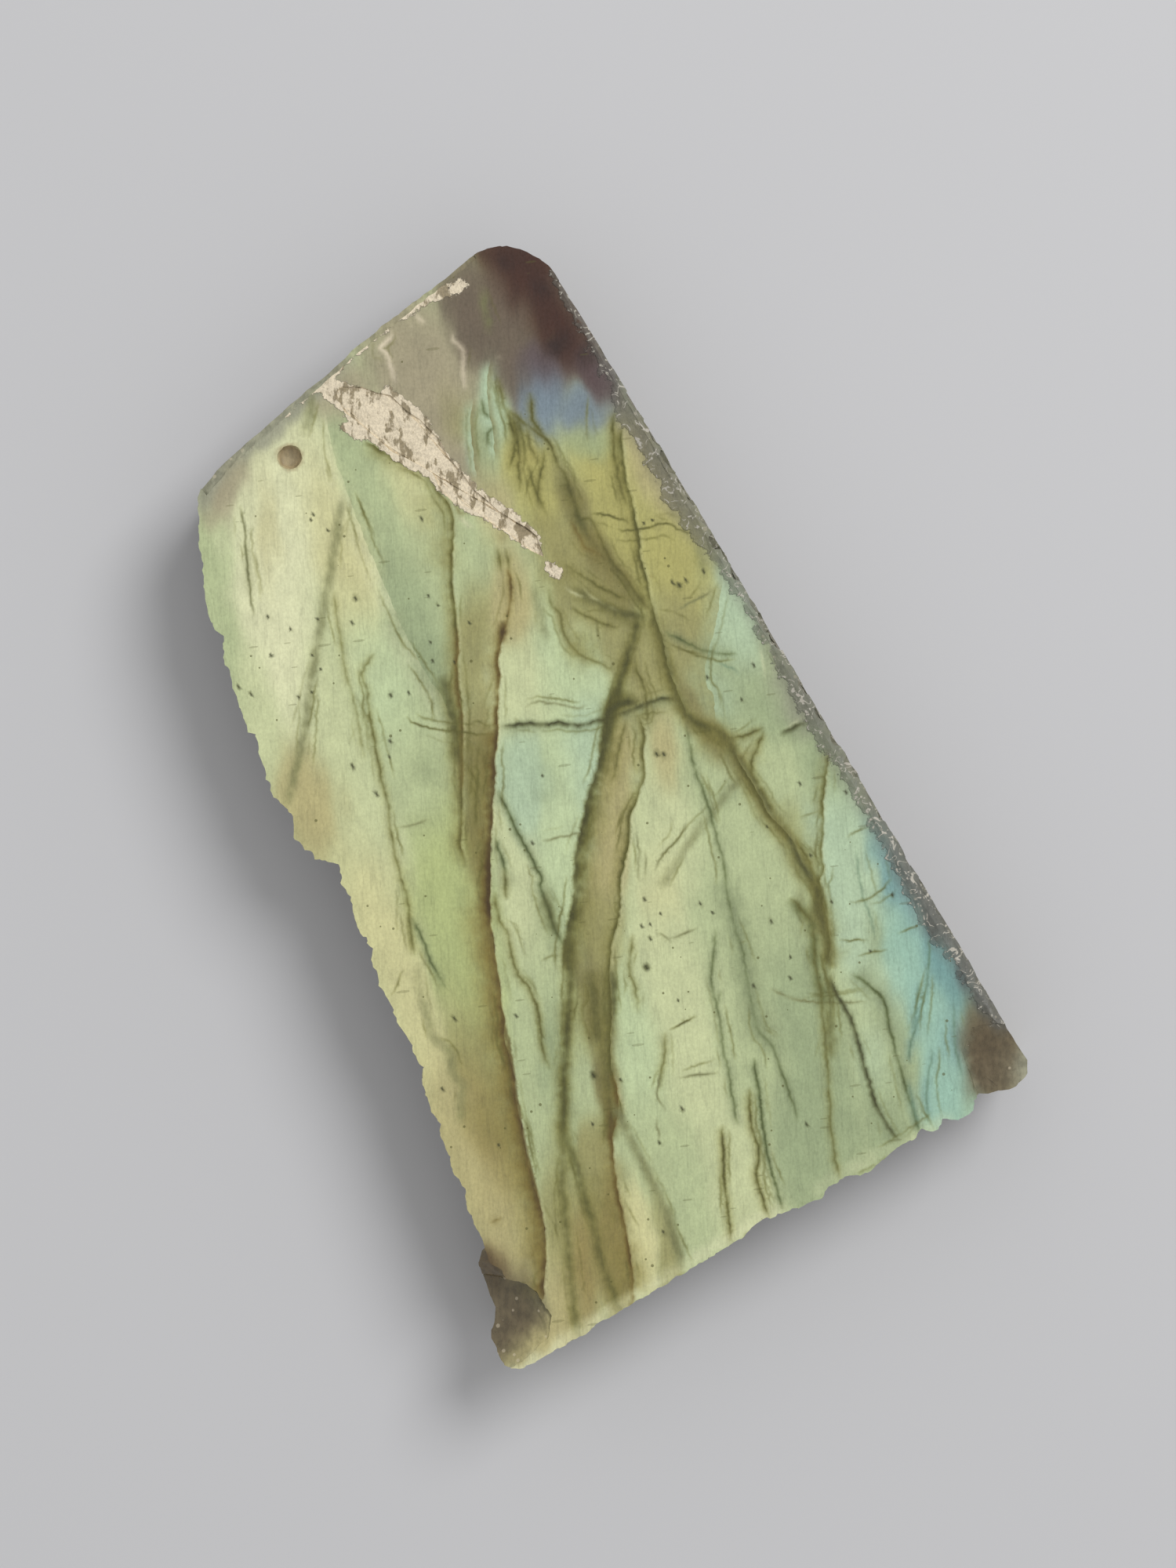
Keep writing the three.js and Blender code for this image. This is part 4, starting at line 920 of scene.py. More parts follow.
class StageSettings(bpy.types.PropertyGroup):
    """The floor, the lights and the camera."""

    floor_size: length("Floor size", "Side of the floor", 3000)
    floor_colour: screen_colour("Floor colour", "Plain pale floor", 206, 206, 208)
    camera_distance: length("Camera distance", "Height of the camera over the face", 250)
    view_height: length("View height", "Height of the picture, measured at the face", 80)
    view_centre_x: length("View centre X", "Middle of the picture along X", 3.51)
    view_centre_y: bpy.props.FloatProperty(
        name="View centre Y", description="Middle of the picture along Y", default=-0.69 * MM,
        precision=5, unit="LENGTH",
    )
    view_turn: bpy.props.FloatProperty(
        name="View turn", description="How far the camera is turned about its line of sight",
        default=math.radians(-31.5), subtype="ANGLE",
    )
    key_power: bpy.props.FloatProperty(
        name="Key light", description="Power of the large soft light", default=2.3, unit="POWER",
    )
    room_light: bpy.props.FloatProperty(
        name="Room light", description="Strength of the even light all round", default=0.52,
    )


# Lines on the face

def smooth_line(places, spacing):
    """A smooth curve through the places, as evenly spaced points."""
    knots = np.array(places, float)
    padded = np.vstack([2 * knots[0] - knots[1], knots, 2 * knots[-1] - knots[-2]])
    way = np.linspace(0, 1, 8, endpoint=False)[:, None]
    spans = []
    for before, start, end, after in zip(padded, padded[1:], padded[2:], padded[3:]):
        bend = 2 * before - 5 * start + 4 * end - after
        twist = 3 * start - before - 3 * end + after
        spans.append(0.5 * (2 * start + (end - before) * way + bend * way**2 + twist * way**3))
    curve = np.vstack([*spans, knots[-1:]])
    steps = np.linalg.norm(np.diff(curve, axis=0), axis=1)
    along = np.concatenate([[0], np.cumsum(steps)])
    even = np.linspace(0, along[-1], max(3, round(along[-1] / spacing) + 1))
    return np.column_stack([np.interp(even, along, curve[:, axis]) for axis in (0, 1)])


def wobbled(line, amount, number):
    """The line with a small uneven wander, different for each number."""
    wander = []
    for x, y in line:
        slow = noise.noise_vector(Vector((x * 0.9, y * 0.9, number * 7.3)))
        quick = noise.noise_vector(Vector((x * 2.6, y * 2.6, number * 3.1)))
        wander.append((slow.x + 0.4 * quick.x, slow.y + 0.4 * quick.y))
    jitter = np.random.default_rng(number).uniform(-LINE_JITTER, LINE_JITTER, line.shape)
    return line + amount * np.array(wander) + jitter


def followers():
    """Fine lines that follow short stretches of the long veins, close beside them."""
    rng = np.random.default_rng(SEED)
    made = []
    for mark in MARKS:
        course = smooth_line(mark.places, COVER_STEP)
        length = len(course) * COVER_STEP
        if length < FOLLOWED_LENGTH or "shade" in mark.kind:
            continue
        for _ in range(int(length / FOLLOWER_EVERY)):
            count = int(rng.integers(5, min(18, len(course))))
            start = int(rng.integers(0, len(course) - count + 1))
            away = np.linspace(rng.uniform(0.15, 0.5), rng.uniform(0.15, 0.8), count)
            beside = shifted(course[start:start + count], away * rng.choice((-1, 1)))
            made.append(Mark("follower", beside, rng.uniform(0.3, 0.85)))
    return made


# A line on the face: its strokes, its points, its strength and the length over which it fades out
# at each end.
Line = namedtuple("Line", "strokes points strength taper")


def face_lines(sizes):
    """All marks and dark grains, as lines."""
    spacing = sizes.face_spacing / MM
    wobble = sizes.vein_wobble / MM
    lines = []
    for number, mark in enumerate(MARKS + followers()):
        line = wobbled(smooth_line(mark.places, spacing), wobble, number)
        lines.append(Line(LINE_KINDS[mark.kind], line + MARKS_CENTRE, mark.strength, LINE_TAPER))
    for x, y, radius in SPECKS:
        grain = np.array([(x, y + radius / 2), (x, y), (x, y - radius / 2)])
        strokes = [Stroke("deep_olive", 1.0, radius * 0.7, radius * 0.7)]
        lines.append(Line(strokes, grain + MARKS_CENTRE, 1.0, 0))
    return lines


def shifted(line, distance):
    """The line moved sideways by a distance, or by a distance for each of its points."""
    heading = np.gradient(line, axis=0)
    heading /= np.linalg.norm(heading, axis=1)[:, None] + 1e-9
    across = np.column_stack([heading[:, 1], -heading[:, 0]])
    return line + np.reshape(distance, (-1, 1)) * across


# The mesh of the stone, made in millimetres

def at_height(faces, height):
    """The faces that lie flat at a height."""
    return [f for f in faces if all(abs(v.co.z - height) < FLAT for v in f.verts)]


def walls_of_solid():
    """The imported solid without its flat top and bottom, as points in millimetres and triangles."""
    solid = bmesh.new()
    solid.from_mesh(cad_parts[NODE].data)
    bmesh.ops.scale(solid, vec=(1 / MM,) * 3, verts=solid.verts)
    bmesh.ops.remove_doubles(solid, verts=solid.verts, dist=WELD)
    flats = at_height(solid.faces, HIGH[2]) + at_height(solid.faces, LOW[2])
    bmesh.ops.delete(solid, geom=flats, context="FACES")
    solid.verts.index_update()
    points = np.array([vert.co for vert in solid.verts])
    triangles = np.array([[vert.index for vert in face.verts] for face in solid.faces])
    solid.free()
    return points, triangles


def pieces_of(corners, middles):
    """The triangles that one falls into where its sides have middle points, or -1 for none."""
    count = sum(middle >= 0 for middle in middles)
    while count and (middles[0] < 0 or (count < 3 and middles[2] >= 0)):
        corners, middles = corners[1:] + corners[:1], middles[1:] + middles[:1]
    (a, b, c), (ab, bc, ca) = corners, middles
    return [
        [(a, b, c)],
        [(a, ab, c), (ab, b, c)],
        [(ab, b, bc), (a, ab, bc), (a, bc, c)],
        [(a, ab, ca), (ab, b, bc), (ca, bc, c), (ab, bc, ca)],
    ][count]


def split_long_edges(points, triangles, longest):
    """Halves every edge over this length until none is left, and makes the rim still finer."""
    for _ in range(SPLIT_PASSES):
        sides = np.stack([triangles, np.roll(triangles, -1, axis=1)], axis=2)
        edges, which = np.unique(np.sort(sides.reshape(-1, 2), axis=1), axis=0, return_inverse=True)
        on_rim = (points[edges][:, :, 2] > HIGH[2] - FLAT).all(1)
        limit = np.where(on_rim, RIM_SHARE * longest, longest)
        is_long = np.linalg.norm(points[edges[:, 0]] - points[edges[:, 1]], axis=1) > limit
        middles = np.full(len(edges), -1)
        middles[is_long] = len(points) + np.arange(is_long.sum())
        middles = middles[which.ravel()].reshape(-1, 3)
        points = np.vstack([points, points[edges[is_long]].mean(1)])
        pieces = map(pieces_of, triangles.tolist(), middles.tolist())
        triangles = np.array([piece for group in pieces for piece in group])
    return points, triangles


def as_bmesh(points, triangles):
    """A bmesh of these points and triangles."""
    made = bmesh.new()
    verts = [made.verts.new(point) for point in points]
    for triangle in triangles.tolist():
        made.faces.new([verts[number] for number in triangle])
    return made


def lattice(low, high, spacing):
    """Points of a triangular lattice over a rectangle, each nudged a little off its place."""
    rng = np.random.default_rng(SEED)
    xs = np.arange(low[0], high[0], spacing)
    ys = np.arange(low[1], high[1], spacing * math.sqrt(3) / 2)
    x, y = np.meshgrid(xs, ys)
    x[1::2] += spacing / 2
    points = np.column_stack([x.ravel(), y.ravel()])
    return points + rng.uniform(-0.15, 0.15, points.shape) * spacing


def inside_loops(places, loops):
    """Which of the places lie inside closed loops, given as the two ends of each edge."""
    x, y = places.T
    inside = np.zeros(len(places), bool)
    for (start_x, start_y), (end_x, end_y) in loops:
        if start_y != end_y:
            at = start_x + (y - start_y) * (end_x - start_x) / (end_y - start_y)
            inside ^= ((start_y > y) != (end_y > y)) & (at > x)
    return inside


def clear_of_rim(places, loops, gap):
    """Which of the places lie inside the loops and further than a gap from every edge of them."""
    samples = []
    for start, end in loops:
        count = max(2, int(math.dist(start, end) / RIM_SAMPLE) + 1)
        samples.append(start + (end - start) * np.linspace(0, 1, count)[:, None])
    samples = np.vstack(samples).tolist()
    tree = KDTree(len(samples))
    for number, (x, y) in enumerate(samples):
        tree.insert((x, y, 0), number)
    tree.balance()
    clear = inside_loops(places, loops)
    clear[clear] = [tree.find((x, y, 0))[2] > gap for x, y in places[clear].tolist()]
    return clear


def thinned(kept, offered, gap):
    """The offered points that don't crowd the kept points or each other."""
    cells = np.floor(np.vstack([kept, offered]) / gap).astype(int)
    _, first = np.unique(cells, axis=0, return_index=True)
    first = np.sort(first[first >= len(kept)]) - len(kept)
    return offered[first]


def rim_at(stone, height):
    """The vertices round the openings at a height, and the pairs of them that edges join."""
    edges = [
        edge for edge in stone.edges
        if edge.is_boundary and all(abs(vert.co.z - height) < FLAT for vert in edge.verts)
    ]
    rim = list(dict.fromkeys(vert for edge in edges for vert in edge.verts))
    numbers = {vert: number for number, vert in enumerate(rim)}
    return rim, np.array([[numbers[vert] for vert in edge.verts] for edge in edges])


def clear_stretches(lines, loops, gap):
    """The points of the lines that are clear of the rim, and the pairs that follow each other."""
    places = np.vstack(lines)
    owners = np.repeat(np.arange(len(lines)), [len(line) for line in lines])
    clear = clear_of_rim(places, loops, gap)
    joined = clear[:-1] & clear[1:] & (owners[:-1] == owners[1:])
    numbers = np.cumsum(clear) - 1
    return places[clear], np.column_stack([numbers[:-1], numbers[1:]])[joined]


def fill_flat_opening(stone, height, spacing, lines, finish):
    """Fills the opening at a height with fine triangles that have edges along the lines."""
    rim, edges = rim_at(stone, height)
    points = np.array([vert.co.xy for vert in rim])
    loops = points[edges]
    offered = lattice(points.min(0), points.max(0), spacing)
    if lines:
        line_points, line_edges = clear_stretches(lines, loops, spacing * 0.6)
        edges = np.vstack([edges, line_edges + len(points)])
        points = np.vstack([points, line_points])
        beside = np.vstack([
            shifted(line, distance) for line in lines for distance in FINE_PLACES_BESIDE_LINE
        ])
        offered = np.vstack([thinned(points, beside, THINNING), offered])
    offered = offered[clear_of_rim(offered, loops, spacing * 0.5)]
    offered = thinned(points, offered, THINNING if lines else spacing / 2)
    flat = [Vector(place) for place in np.vstack([points, offered])]
    places, _, triangles, origins, _, _ = delaunay_2d_cdt(flat, edges.tolist(), [], 0, 1e-6)

    verts = []
    for place, origin in zip(places, origins):
        on_rim = [number for number in origin if number < len(rim)]
        verts.append(rim[on_rim[0]] if on_rim else stone.verts.new((*place, height)))
    triangles = np.array(triangles)
    middles = np.array(places)[triangles].mean(1)
    turn = 1 if finish == POLISHED else -1
    for triangle in triangles[inside_loops(middles, loops)]:
        face = stone.faces.new([verts[number] for number in triangle[::turn]])
        face.material_index = finish
    loose = [vert for vert in stone.verts if not vert.link_faces]
    bmesh.ops.delete(stone, geom=loose, context="VERTS")


def is_sawn(x, y):
    """Whether a place by the outline is on the long sawn edge or on the narrow end."""
    on_long_edge = x > 14.6 and y > -22
    on_narrow_end = y > 21.9 + 0.163 * (x + 5.2) and x > -5.3
    return on_long_edge or on_narrow_end


def is_crust(x, y):
    """Whether a place that isn't polished lies in the groove that the pale crust fills."""
    return 2.4 < x < 8.4 and 9.9 < y < 23.35


def ramp(value, end):
    """Rises smoothly from 0 to 1 as the value goes from 0 to the end."""
    way = min(1, max(0, value / end))
    return way * way * (3 - 2 * way)


def break_depth(place):
    """How far a break is worn in at a place, from 0 to 1: flat cleavage steps and a fine rough."""
    steps = noise.cell(Vector((place.x * 0.9, place.y * 0.9, place.z * 2.6)))
    rough = noise.fractal(place * 1.7, 0.7, 2.1, 4)
    return 0.45 * steps + 0.55 * min(1, max(0, 0.5 + 0.6 * rough))


def saw_depth(place):
    """How deep the saw marks are at a place on a side, from 0 to 1."""
    drag = noise.noise(Vector((place.x * 0.3, place.y * 0.3, place.z * 7)))
    return min(1, max(0, 0.5 + 0.8 * drag))


def crust_height(place):
    """The height of the crust's lumps at a place, from 0 to 1."""
    lumps = noise.fractal(Vector((place.x * 1.6, place.y * 1.6, 3)), 0.6, 2.2, 4)
    return min(1, max(0, 0.5 + 0.75 * lumps))


def roughen(stone, sizes):
    """Works the fine relief into the breaks, the sawn sides, the crust and the rim."""
    stone.normal_update()
    moves = []
    for vert in stone.verts:
        place = vert.co
        depth = HIGH[2] - place.z
        x, y = place.xy - Vector(MARKS_CENTRE)
        if is_crust(x, y) and depth < CRUST_DEPTH:
            lump = sizes.crust_relief / MM * (crust_height(place) - 0.5) * ramp(depth, 0.1)
            moves.append(Vector((0, 0, min(CRUST_FILL * depth + lump, depth * 0.9))))
            continue
        relief, worn = sizes.break_relief, break_depth(place)
        if y < -17 and (x < -12 or x > 12.3):
            relief = sizes.corner_relief
        if is_sawn(x, y) and depth > CHIPPED_DEPTH:
            relief, worn = sizes.saw_relief, saw_depth(place)
        fade = ramp(depth, 0.5) * ramp(place.z, 0.4)
        inward = vert.normal * (-relief / MM * worn * fade)
        rim = math.exp(-depth / 0.4) * sizes.rim_wobble / MM
        stray = noise.noise_vector(Vector((place.x * 2.3, place.y * 2.3, 1.7)))
        if not is_sawn(x, y):
            stray += noise.noise_vector(Vector((place.x * 6, place.y * 6, 5.3)))
        moves.append(inward + Vector((stray.x, stray.y, 0)) * rim)
    for vert, move in zip(stone.verts, moves):
        vert.co = np.clip(np.array(vert.co + move), LOW, HIGH)


def finish_of(face):
    """The material of a face that isn't on the polished face or on the back."""
    middle = face.calc_center_median()
    x, y = middle.xy - Vector(MARKS_CENTRE)
    depth = HIGH[2] - middle.z
    if is_crust(x, y) and depth < CRUST_DEPTH:
        return CRUST
    if is_sawn(x, y) and depth > CHIPPED_DEPTH:
        return SAWN
    return BROKEN


def stone_mesh(sizes, lines):
    """The whole stone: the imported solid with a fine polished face, back, breaks and crust."""
    stone = as_bmesh(*split_long_edges(*walls_of_solid(), sizes.wall_spacing / MM))
    roughen(stone, sizes)
    for face in stone.faces:
        face.material_index = finish_of(face)
    courses = [line.points for line in lines]
    fill_flat_opening(stone, HIGH[2], sizes.face_spacing / MM, courses, POLISHED)
    fill_flat_opening(stone, LOW[2], sizes.back_spacing / MM, [], SAWN)
    for face in stone.faces:
        face.smooth = True
    for edge in stone.edges:
        same_finish = len({face.material_index for face in edge.link_faces}) == 1
        edge.smooth = same_finish and edge.calc_face_angle(0) < SHARP_ANGLE
    mesh = bpy.data.meshes.new(PIECE)
    stone.to_mesh(mesh)
    stone.free()
    return mesh


# The colour of the stone at each corner of each face

def falloff(distance, width):
    """Falls from 1 at no distance to a half at the width."""
    return 0.5 ** np.minimum((np.abs(distance) / width) ** FADE_POWER, 30)


def distances_from(line, places, reach):
    """The places within reach of a line, how far to its left they lie, and how far from its ends."""
    nearest = np.full(len(places), np.inf)
    side = np.ones(len(places))
    along = np.zeros(len(places))
    steps = np.diff(line, axis=0)
    lengths = np.linalg.norm(steps, axis=1)
    starts = np.concatenate([[0], np.cumsum(lengths)])
    for start, step, step_length, way in zip(line, steps, lengths, starts):
        low = np.minimum(start, start + step) - reach
        high = np.maximum(start, start + step) + reach
        first, last = np.searchsorted(places[:, 1], (low[1], high[1]))
        x = places[first:last, 0]
        near = first + np.flatnonzero((x > low[0]) & (x < high[0]))
        offset = places[near] - start
        share_along = np.clip(offset @ step / step_length**2, 0, 1)
        distance = np.linalg.norm(offset - share_along[:, None] * step, axis=1)
        closer = distance < nearest[near]
        near, offset = near[closer], offset[closer]
        nearest[near] = distance[closer]
        side[near] = np.where(step[1] * offset[:, 0] - step[0] * offset[:, 1] > 0, 1, -1)
        along[near] = way + share_along[closer] * step_length
    touched = np.flatnonzero(nearest < reach)
    from_ends = np.minimum(along, starts[-1] - along)
    return touched, (nearest * side)[touched], from_ends[touched]


def cover(places, courses, reach):
    """How fully the courses cover each place: 1 within their width, 0 at the reach outside it."""
    covered = np.zeros(len(places))
    for course in courses:
        knots = np.array(course)
        steps = np.linalg.norm(np.diff(knots[:, :2], axis=0), axis=1)
        along = np.concatenate([[0], np.cumsum(steps)])
        even = np.arange(0, along[-1], COVER_STEP)
        discs = [np.interp(even, along, column) for column in knots.T]
        for x, y, half_width in zip(*discs):
            outside = np.hypot(places[:, 0] - x, places[:, 1] - y) - half_width
            covered = np.maximum(covered, 1 - np.clip(outside / reach, 0, 1))
    return covered


def body_colours(places, palette):
    """The stone's own colour at each place, blended from the patches."""
    total = np.tile(palette[BODY_COLOUR] * BODY_STRENGTH, (len(places), 1))
    weights = np.full(len(places), BODY_STRENGTH)
    stray = [
        noise.noise_vector(Vector((x * 1.3, y * 0.5, 4.1))) for x, y in (places @ ALONG_PLATES)
    ]
    places = places - MARKS_CENTRE + BODY_STRAY * np.array(stray)[:, :2]
    for patch in PATCHES:
        offset = places - patch.at
        lean = math.radians(patch.lean)
        lengthwise = offset @ (math.sin(lean), math.cos(lean)) / patch.half_length
        crosswise = offset @ (math.cos(lean), -math.sin(lean)) / patch.half_width
        weight = patch.strength * np.exp(-(lengthwise**2) - crosswise**2)
        total += weight[:, None] * palette[patch.colour]
        weights += weight
    return total / weights[:, None]


def patchiness(points, line_number):
    """How strongly a line shows at each of its points: an uneven share that differs by line."""
    shares = []
    for x, y in points:
        slow = noise.noise(Vector((x * 0.7, y * 0.7, line_number * 3.7)))
        quick = noise.noise(Vector((x * 3.1, y * 3.1, line_number * 5.9)))
        shares.append(0.86 + 0.5 * slow + 0.45 * quick)
    return np.clip(shares, 0.25, 1.15)


def lay_lines(colours, places, lines, palette, mark_strength):
    """Lays the strokes of each line over the colours. The places are in order of their Y."""
    for number, line in enumerate(lines):
        widest = max(max(stroke.left, stroke.right) for stroke in line.strokes)
        reach = STROKE_REACH * widest
        touched, distance, from_ends = distances_from(line.points, places, reach)
        strength = line.strength * mark_strength
        if line.taper:
            strength = strength * np.clip(from_ends / line.taper, 0, 1)
            strength = strength * patchiness(places[touched], number)
        for stroke in line.strokes:
            widths = np.where(distance > 0, stroke.left, stroke.right)
            shown = np.where(widths > 0, falloff(distance, np.maximum(widths, 1e-6)), 0)
            depth = np.clip(shown * strength * stroke.strength, 0, 1)
            colours[touched] += depth[:, None] * (palette[stroke.colour] - colours[touched])


def mixed(colours, colour, amount):
    """The colours moved towards one colour, by an amount for each of them."""
    return colours + np.clip(amount, 0, 1)[:, None] * (colour - colours)


def to_light(colours):
    """Screen colours turned into amounts of light."""
    return np.where(colours <= 0.04045, colours / 12.92, ((colours + 0.055) / 1.055) ** 2.4)


def paint(mesh, lines, palette, mark_strength):
    """Writes the colour of the stone at each corner of each face, as the colours of the mesh."""
    places = np.empty(len(mesh.vertices) * 3, np.float32)
    mesh.vertices.foreach_get("co", places)
    corners = np.empty(len(mesh.loops), np.int32)
    mesh.loops.foreach_get("vertex_index", corners)
    finishes = np.empty(len(mesh.polygons), np.int32)
    mesh.polygons.foreach_get("material_index", finishes)
    finishes = np.repeat(finishes, 3)
    places = places.reshape(-1, 3).astype(float)
    triangles = places[corners].reshape(-1, 3, 3)
    inset = triangles + CORNER_INSET * (triangles.mean(1, keepdims=True) - triangles)
    inset = inset.reshape(-1, 3)
    order = np.argsort(inset[:, 1], kind="stable")
    flat, depth = inset[order, :2], HIGH[2] - inset[order, 2]
    finish = finishes[order]

    own = places[:, :2] - MARKS_CENTRE
    covers = np.column_stack([
        cover(own, CHIPPED_COURSES, CHIPPED_REACH), cover(own, CRUST_COURSES, CRUST_REACH),
        cover(own, BROWN_COURSES, BROWN_REACH), np.ones(len(own)),
    ])
    chipped, _, brown, _ = covers[corners[order]].T
    surface = body_colours(places[:, :2], palette)[corners[order]]
    lay_lines(surface, flat, lines, palette, mark_strength)
    surface = mixed(surface, palette["margin"], 0.5 * chipped)
    from_pit = np.linalg.norm(flat - MARKS_CENTRE - PIT_CENTRE, axis=1)
    into_pit = PIT_RADIUS + PIT_SOFTNESS - from_pit
    surface = mixed(surface, palette["pit_brown"], 8 * into_pit)
    broken = (finish == BROKEN) * (1 - 0.85 * brown)
    colours = mixed(surface, palette["break_light"], broken * depth / CHIPPED_DEPTH)
    colours = mixed(colours, palette["break_dark"], broken * (depth - 0.8) / 3)
    colours = mixed(colours, palette["sawn"], (finish == SAWN) * 1.0)

    light = np.ones((len(order), 4), np.float32)
    light[order, :3] = to_light(colours)
    stone_colour = mesh.color_attributes.new("stone_colour", "FLOAT_COLOR", "CORNER")
    stone_colour.data.foreach_set("color", light.ravel())
    stone_covers = mesh.color_attributes.new("stone_covers", "FLOAT_COLOR", "POINT")
    stone_covers.data.foreach_set("color", covers.astype(np.float32).ravel())


# Materials

def add_node(tree, kind, inputs=None, **settings):
    """A new node, with its settings, and with its inputs set or linked."""
    node = tree.nodes.new(kind)
    for name, value in settings.items():
        setattr(node, name, value)
    for name, value in (inputs or {}).items():
        if isinstance(value, bpy.types.NodeSocket):
            tree.links.new(value, node.inputs[name])
        else:
            node.inputs[name].default_value = value
    return node


def new_group(name, inputs, outputs):
    """A new node group with named sockets, and its input and output nodes."""
    group = bpy.data.node_groups.new(name, "ShaderNodeTree")
    for socket, (kind, default) in inputs.items():
        made = group.interface.new_socket(socket, in_out="INPUT", socket_type=kind)
        if default is not None:
            made.default_value = default
    for socket, kind in outputs.items():
        group.interface.new_socket(socket, in_out="OUTPUT", socket_type=kind)
    return group, add_node(group, "NodeGroupInput"), add_node(group, "NodeGroupOutput")


def clamped_map(tree, value, low, high, to_low, to_high):
    """A value's range, low to high, mapped smoothly to another."""
    node = add_node(
        tree, "ShaderNodeMapRange", interpolation_type="SMOOTHSTEP",
        inputs={
            "Value": value, "From Min": low, "From Max": high, "To Min": to_low,
            "To Max": to_high,
        },
    )
    return node.outputs["Result"]


def calculated(tree, operation, first, second):
    """The outcome of a sum on two values."""
    node = add_node(tree, "ShaderNodeMath", {0: first, 1: second}, operation=operation)
    return node.outputs["Value"]


def blended(tree, amount, first, second, blend_type="MIX"):
    """Two colours mixed by an amount."""
    node = add_node(tree, "ShaderNodeMix", data_type="RGBA", blend_type=blend_type)
    for index, value in ((0, amount), (6, first), (7, second)):
        if isinstance(value, bpy.types.NodeSocket):
            tree.links.new(value, node.inputs[index])
        else:
            node.inputs[index].default_value = value
    return node.outputs[2]


def grain_group():
    """Fine cloudy grain, in two sizes, stretched along the plates of the stone."""
    group, given, made = new_group(
        "Stone grain",
        {
            "Millimetres": ("NodeSocketVector", None),
            "Grains per mm": ("NodeSocketFloat", 4.0),
            "Stretch": ("NodeSocketFloat", 1.0),
        },
        {"Cloud": "NodeSocketFloat", "Grain": "NodeSocketFloat"},
    )
    turned = add_node(
        group, "ShaderNodeMapping",
        {"Vector": given.outputs["Millimetres"], "Rotation": (0, 0, PLATE_LEAN)},
    )
    squeeze = add_node(
        group, "ShaderNodeCombineXYZ", {"X": 1.0, "Y": given.outputs["Stretch"], "Z": 1.0}
    )
    stretched = add_node(
        group, "ShaderNodeVectorMath", {0: turned.outputs[0], 1: squeeze.outputs[0]},
        operation="MULTIPLY",
    )
    for name, ratio in (("Cloud", 0.12), ("Grain", 1.0)):
        scale = calculated(group, "MULTIPLY", given.outputs["Grains per mm"], ratio)
        texture = add_node(
            group, "ShaderNodeTexNoise",
            {"Vector": stretched.outputs[0], "Scale": scale, "Detail": 4.0, "Roughness": 0.6},
        )
        group.links.new(texture.outputs["Fac"], made.inputs[name])
    return group


def specks_group():
    """Small separate spots, a share of the cells of an uneven grid."""
    group, given, made = new_group(
        "Mineral specks",
        {
            "Millimetres": ("NodeSocketVector", None),
            "Cells per mm": ("NodeSocketFloat", 1.0),
            "Radius": ("NodeSocketFloat", 0.08),
            "Share": ("NodeSocketFloat", 0.3),
        },
        {"Mask": "NodeSocketFloat"},
    )
    cells = add_node(
        group, "ShaderNodeTexVoronoi",
        {"Vector": given.outputs["Millimetres"], "Scale": given.outputs["Cells per mm"]},
    )
    pick = add_node(group, "ShaderNodeSeparateColor", {0: cells.outputs["Color"]})
    chosen = calculated(group, "LESS_THAN", pick.outputs[0], given.outputs["Share"])
    size = calculated(group, "MULTIPLY", pick.outputs[1], given.outputs["Radius"])
    spot = calculated(group, "LESS_THAN", cells.outputs["Distance"], size)
    mask = calculated(group, "MULTIPLY", chosen, spot)
    group.links.new(mask, made.inputs["Mask"])
    return group


def ragged_group():
    """A mask with ragged edges, from how fully a cover lies over each place."""
    group, given, made = new_group(
        "Ragged cover",
        {
            "Millimetres": ("NodeSocketVector", None),
            "Amount": ("NodeSocketFloat", 0.0),
            "Raggedness": ("NodeSocketFloat", 1.2),
            "Grains per mm": ("NodeSocketFloat", 1.6),
        },
        {"Mask": "NodeSocketFloat"},
    )
    texture = add_node(
        group, "ShaderNodeTexNoise",
        {
            "Vector": given.outputs["Millimetres"], "Scale": given.outputs["Grains per mm"],
            "Detail": 5.0, "Roughness": 0.65,
        },
    )
    stray = calculated(group, "SUBTRACT", texture.outputs["Fac"], 0.5)
    stray = calculated(group, "MULTIPLY", stray, given.outputs["Raggedness"])
    level = calculated(group, "ADD", given.outputs["Amount"], stray)
    group.links.new(clamped_map(group, level, 0.46, 0.6, 0, 1), made.inputs["Mask"])
    return group


